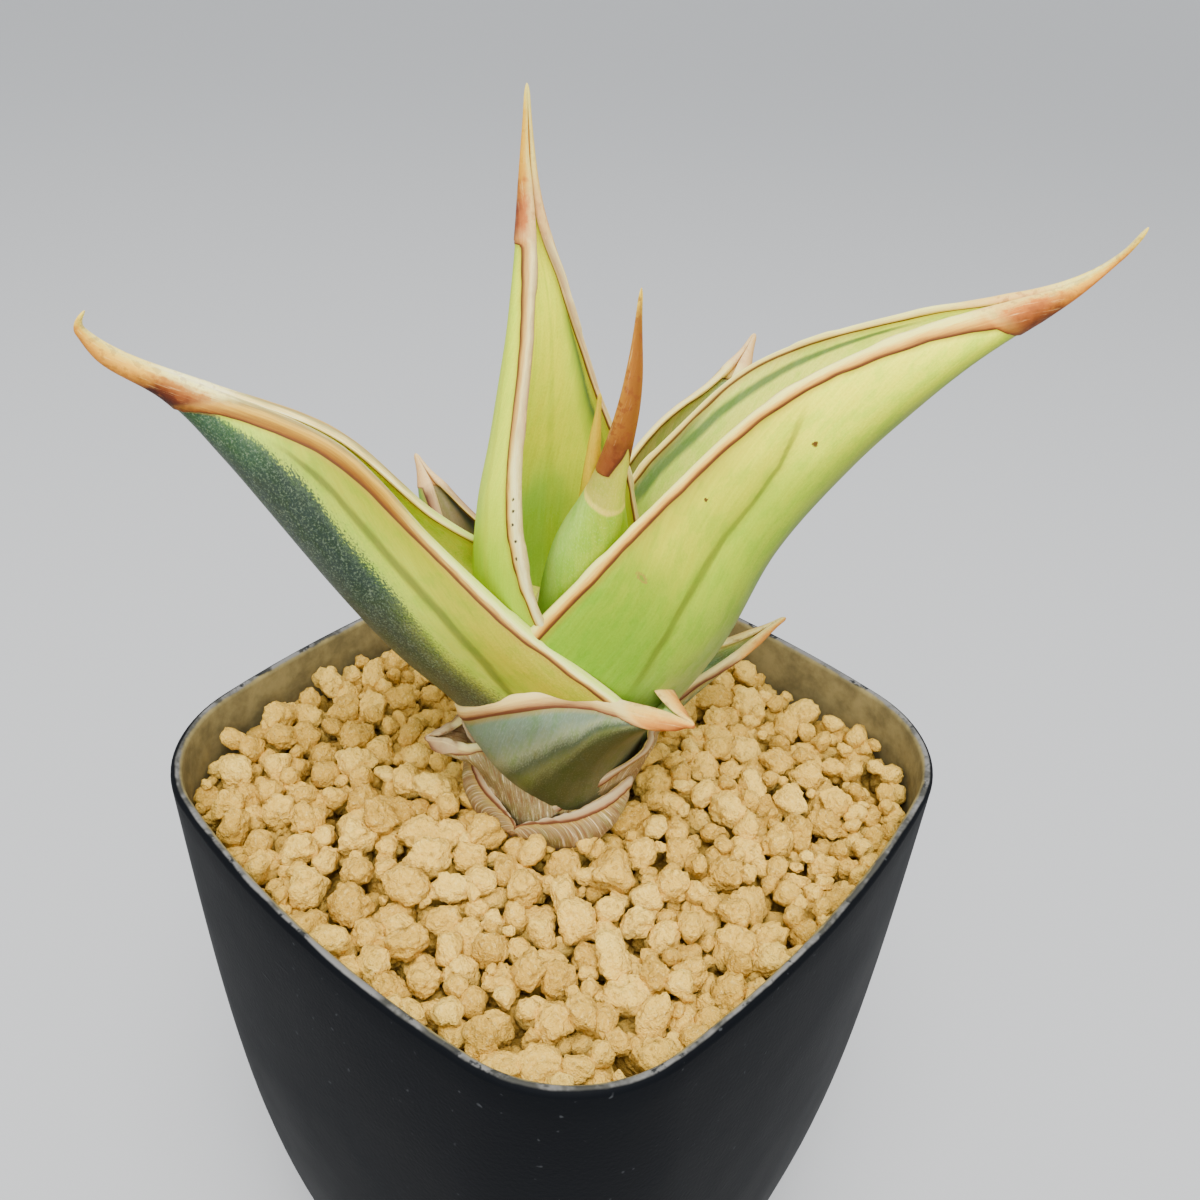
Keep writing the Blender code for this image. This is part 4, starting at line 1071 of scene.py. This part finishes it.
TEAL_IN = [(0, 0.12, 0.22, 0.12), (0.4, 0.26, 0.38, 0.14), (0.7, 0.7, 0.66, 0.22), (1, 0.8, 0.66, 0.26)]
FOLD_IN = [(0, 0.3, 0.4, 0.12), (0.5, 0.5, 0.62, 0.18), (0.85, 0.6, 0.68, 0.22), (1, 0.76, 0.66, 0.26)]
RED_IN = [
    (0, 0.26, 0.19, 0.08), (0.45, 0.23, 0.17, 0.08), (0.58, 0.08, 0.085, 0.055), (0.8, 0.075, 0.06, 0.04),
    (1, 0.16, 0.06, 0.025)]
PINK_HORN = [(0, 0.45, 0.2, 0.04), (0.5, 0.55, 0.3, 0.09), (1, 0.75, 0.5, 0.22)]
DULL_BAND = [
    (0, 0.07, 0.026, 0.01), (0.25, 0.14, 0.06, 0.025), (0.5, 0.26, 0.14, 0.06), (1, 0.45, 0.3, 0.13)]
for name, leaf, channel, rim, seed in (("leaf_back_right", back_right, TEAL_IN, PINK_BAND, 6.0),
                                       ("leaf_back_left", back_left, RED_IN, DULL_BAND, 7.0)):
    skin = leaf_finish(name + "_skin", seed, [(0, 0, GREEN_BACK)], [(0, 0, channel)], [(0, 0, rim)], LIP,
                       [(0.86, 0, PINK_HORN)])
    add_leaf(name, "_blade", leaf, skin)

# Low leaves
# Three short old leaves that clasp the base. The right one is grey-green, the front one blue-green with
# darker stripes, and the left one is drying to a papery cream with red-brown edges.

low_right = dict(
    azimuth=62, rows=100, wall=1.3, side=0.9, rim=0.8, horn=0.9,
    keel=[(9.6, 1), (14.5, 8.4), (19.6, 13.0), (26.0, 17.0), (33.8, 22.6)],
    margin=[(1, 13), (9.9, 14.5), (17.2, 15.6), (24.7, 18.0), (32.8, 23.3)],
    half=[9.8, 7.1, 5.1, 2.6, 0.5], share=[0.96, 0.97, 0.87, 0.8, 0.4], sway=[0.3, 1.9, -0.1],
    edge=[(0, 0.88), (0.6, 0.8), (0.75, 0.62), (0.85, 0.3), (0.88, 0), (0.89, -1)],
    bead=0.22, lip=(0.7, 0.7), wave=0.4)
low_front = dict(
    azimuth=2, rows=120, wall=1.0, side=0.9, rim=0.8, horn=0.98,
    keel=[(10.3, 2.6), (10.8, 10.4), (12.6, 15.9), (15.5, 20.0), (18.2, 21.4), (21.4, 22.4)],
    margin=[(-9.9, 15), (-4.6, 19.0), (4.0, 24.9), (8.0, 24.7), (13.3, 23.3), (20.4, 23.3)],
    half=[11.7, 14.4, 12.2, 7.8, 3.5, 0.6], share=[0.75, 0.84, 0.9, 0.86, 0.79, 0.4], sway=[0, 0],
    edge=[(0, 0.93), (0.3, 0.9), (0.5, 0.86), (0.65, 0.8), (0.73, 0.7), (0.78, 0.4), (0.8, 0), (0.81, -1)],
    bead=0.3, lip=(0.25, 0.5), wave=0.6,
    flares=[(-1, 5.0, [1.0, 2.2, 2.3, 2.0, 1.2, 0.4] + [0] * 5, (1, 0, 0.5))])
low_left = dict(
    azimuth=239, rows=100, wall=0.9, side=0.9, rim=0.8, horn=0.9,
    keel=[(10.9, 1.1), (12.3, 7.4), (14.7, 9.8), (17.3, 10.9), (19.4, 13.0)],
    margin=[(2.3, 6.3), (6.7, 10.5), (10.2, 13.1), (14.3, 12.3), (18.5, 13.6)],
    half=[12.1, 10.0, 6.2, 3.1, 0.6], share=[0.92, 0.97, 0.92, 0.77, 0.4], sway=[-1, -0.6, 0.4],
    edge=[(0, 0.93), (0.6, 0.86), (0.8, 0.6), (0.88, 0), (0.89, -1)],
    bead=0.28, lip=(0.6, 0.6), wave=0.6, ribs=0.2)
GREY_GREEN = [
    (0, 0.05, 0.075, 0.04), (0.5, 0.09, 0.12, 0.05), (0.8, 0.14, 0.16, 0.07), (1, 0.3, 0.26, 0.12)]
BLUE_GREEN = [
    (0, 0.13, 0.12, 0.055), (0.22, 0.1, 0.09, 0.035), (0.32, 0.06, 0.06, 0.018),
    (0.45, 0.05, 0.055, 0.018), (0.52, 0.12, 0.125, 0.045), (0.58, 0.06, 0.075, 0.04),
    (0.66, 0.2, 0.22, 0.12), (0.74, 0.13, 0.165, 0.11), (0.85, 0.13, 0.18, 0.12), (1, 0.09, 0.11, 0.05)]
PAPER_GREEN = [
    (0, 0.14, 0.1, 0.04), (0.4, 0.18, 0.14, 0.055), (0.7, 0.24, 0.18, 0.08), (1, 0.34, 0.25, 0.11)]
PAPER_IN = [(0, 0.4, 0.25, 0.11), (0.5, 0.5, 0.34, 0.16), (1, 0.7, 0.54, 0.27)]
LOW_HORN = [
    (0.3, 0.3, 0.09, 0.015), (0.6, 0.48, 0.2, 0.025), (0.8, 0.74, 0.52, 0.13), (0.94, 0.8, 0.64, 0.22),
    (1, 0.56, 0.42, 0.14)]
F_BAND = [
    (0, 0.1, 0.035, 0.012), (0.12, 0.16, 0.06, 0.02), (0.25, 0.33, 0.17, 0.05), (0.4, 0.5, 0.31, 0.085),
    (0.55, 0.7, 0.48, 0.14), (1, 0.8, 0.64, 0.22)]
F_HORN = [
    (0.3, 0.3, 0.08, 0.012), (0.6, 0.5, 0.19, 0.02), (0.8, 0.78, 0.4, 0.06), (0.94, 0.8, 0.5, 0.12),
    (1, 0.6, 0.36, 0.1)]
PAPER_HORN = [(0.3, 0.16, 0.07, 0.03), (0.7, 0.4, 0.27, 0.12), (0.9, 0.56, 0.42, 0.2), (1, 0.3, 0.18, 0.08)]
for name, leaf, face, channel, band, horn, seed, bloom, streaks in (
        ("leaf_low_right", low_right, GREY_GREEN, TEAL_IN, PINK_BAND, LOW_HORN, 8.0, 0.2, 0.3),
        ("leaf_low_front", low_front, BLUE_GREEN, FOLD_IN, F_BAND, F_HORN, 9.0, 0.06, 0.0),
        ("leaf_low_left", low_left, PAPER_GREEN, PAPER_IN, PINK_BAND, PAPER_HORN, 10.0, 0.1, 0.7)):
    skin = leaf_finish(name + "_skin", seed, [(0, 0, face)], [(0, 0, channel)], [(0, 0, band)], LIP,
                       [(0.78, 0, horn)], fuzz=0.07, bloom=bloom, streaks=streaks, rough=0.48)
    add_leaf(name, "_blade", leaf, skin)

# Dry sheaths
# What is left of the oldest leaves: a papery collar behind the base and a small scale in front of it,
# cream to pink, ribbed along their length, with brown edges.

collar = dict(
    azimuth=122, rows=90, wall=0.8, side=0.8, rim=0.7, horn=1.2,
    keel=[(12.1, -1.5), (12.6, 4), (13.4, 9), (14, 14), (14.6, 18)],
    margin=[(-11.6, 5.4), (-8.5, 10.2), (-3.6, 13.6), (5.5, 16.6), (13.9, 19)],
    half=[11.6, 12.8, 13.3, 9.4, 1.8], share=[0.1, 0.63, 0.95, 0.92, 0.6], sway=[1.4, 0.1, 0],
    edge=[(0, 0.94), (1, 0.9)],
    bead=0.16, lip=(0.25, 0.25), wave=0.8, ribs=0.35)
scale = dict(
    azimuth=-73, rows=60, wall=0.8, side=0.8, rim=0.7, horn=1.2,
    keel=[(12.6, -1.2), (12.9, 0.4), (13.4, 1.8), (14.4, 3.2)],
    margin=[(3, 8.5), (7.5, 7.6), (11.2, 5.8), (13.8, 4.0)],
    half=[12.3, 10.5, 6.5, 1.0], share=[0.97, 0.95, 0.9, 0.6], sway=[0, 0],
    edge=[(0, 0.93), (1, 0.86)],
    bead=0.16, lip=(0.25, 0.25), wave=0.9, ribs=0.35)
DRY_PAPER = [(0, 0.34, 0.2, 0.08), (0.35, 0.3, 0.19, 0.075), (0.7, 0.26, 0.17, 0.07), (1, 0.34, 0.23, 0.1)]
DRY_BAND = [
    (0, 0.12, 0.04, 0.015), (0.2, 0.24, 0.1, 0.04), (0.45, 0.38, 0.24, 0.11), (0.75, 0.46, 0.34, 0.17),
    (1, 0.3, 0.17, 0.08)]
DRY_IN = [(0, 0.3, 0.18, 0.07), (1, 0.42, 0.28, 0.13)]
DRY_TIP = [(0.93, 0, [(0, 0.3, 0.1, 0.03), (1, 0.2, 0.07, 0.02)])]
for name, leaf, seed in (("sheath_dry", collar, 11.0), ("sheath_scale", scale, 12.0)):
    skin = leaf_finish(name + "_skin", seed, [(0, 0, DRY_PAPER)], [(0, 0, DRY_IN)], [(0, 0, DRY_BAND)],
                       LIP, DRY_TIP, fuzz=0.12, streaks=0.7, rough=0.6)
    add_leaf(name, "_paper", leaf, skin)

# Floor, light and camera
# A plain pale floor under soft light from overhead, and a camera that looks down on the plant.

FLOOR_RADIUS = 20.0
floor_finish = Finish("floor_paint", {"Base Color": (0.42, 0.42, 0.42, 1.0), "Roughness": 0.8,
                                      "Specular IOR Level": 0.1})
bm = bmesh.new()
bmesh.ops.create_circle(bm, cap_ends=True, segments=96, radius=FLOOR_RADIUS)
floor = new_piece("floor", bm, floor_finish)

world = bpy.data.worlds.new("soft_room")
bpy.context.scene.world = world
world.use_nodes = True
world.node_tree.nodes["Background"].inputs["Color"].default_value = (0.93, 0.96, 1.0, 1.0)
world.node_tree.nodes["Background"].inputs["Strength"].default_value = 1.5

for name, place, target, size, power in (
        ("overhead_softbox", (0.2, -0.2, 0.95), (0.0, 0.0, 0.1), 0.6, 13.0),
        ("front_fill", (0.5, -0.55, 0.6), (0.0, 0.0, 0.1), 0.8, 5.0)):
    lamp = bpy.data.lights.new(name, "AREA")
    lamp.shape = "DISK"
    lamp.size = size
    lamp.energy = power
    light = bpy.data.objects.new(name, lamp)
    light.location = place
    light.rotation_euler = (Vector(target) - Vector(place)).to_track_quat("-Z", "Y").to_euler()
    bpy.context.scene.collection.objects.link(light)

CAMERA_PLACE = (0.07462, -0.08382, 0.20086)
CAMERA_RIGHT = Vector((0.74998, 0.65963, 0.04917))
CAMERA_UP = Vector((-0.38743, 0.37781, 0.84093))
CAMERA_AHEAD = Vector((-0.53613, 0.64973, -0.53891))
lens = bpy.data.cameras.new("camera")
lens.lens = 31.23
lens.sensor_width = 36.0
lens.clip_start = 0.01
camera = bpy.data.objects.new("camera", lens)
turn = Matrix((CAMERA_RIGHT, CAMERA_UP, -CAMERA_AHEAD)).transposed()
camera.matrix_world = Matrix.Translation(CAMERA_PLACE) @ turn.to_4x4()
bpy.context.scene.collection.objects.link(camera)
bpy.context.scene.camera = camera
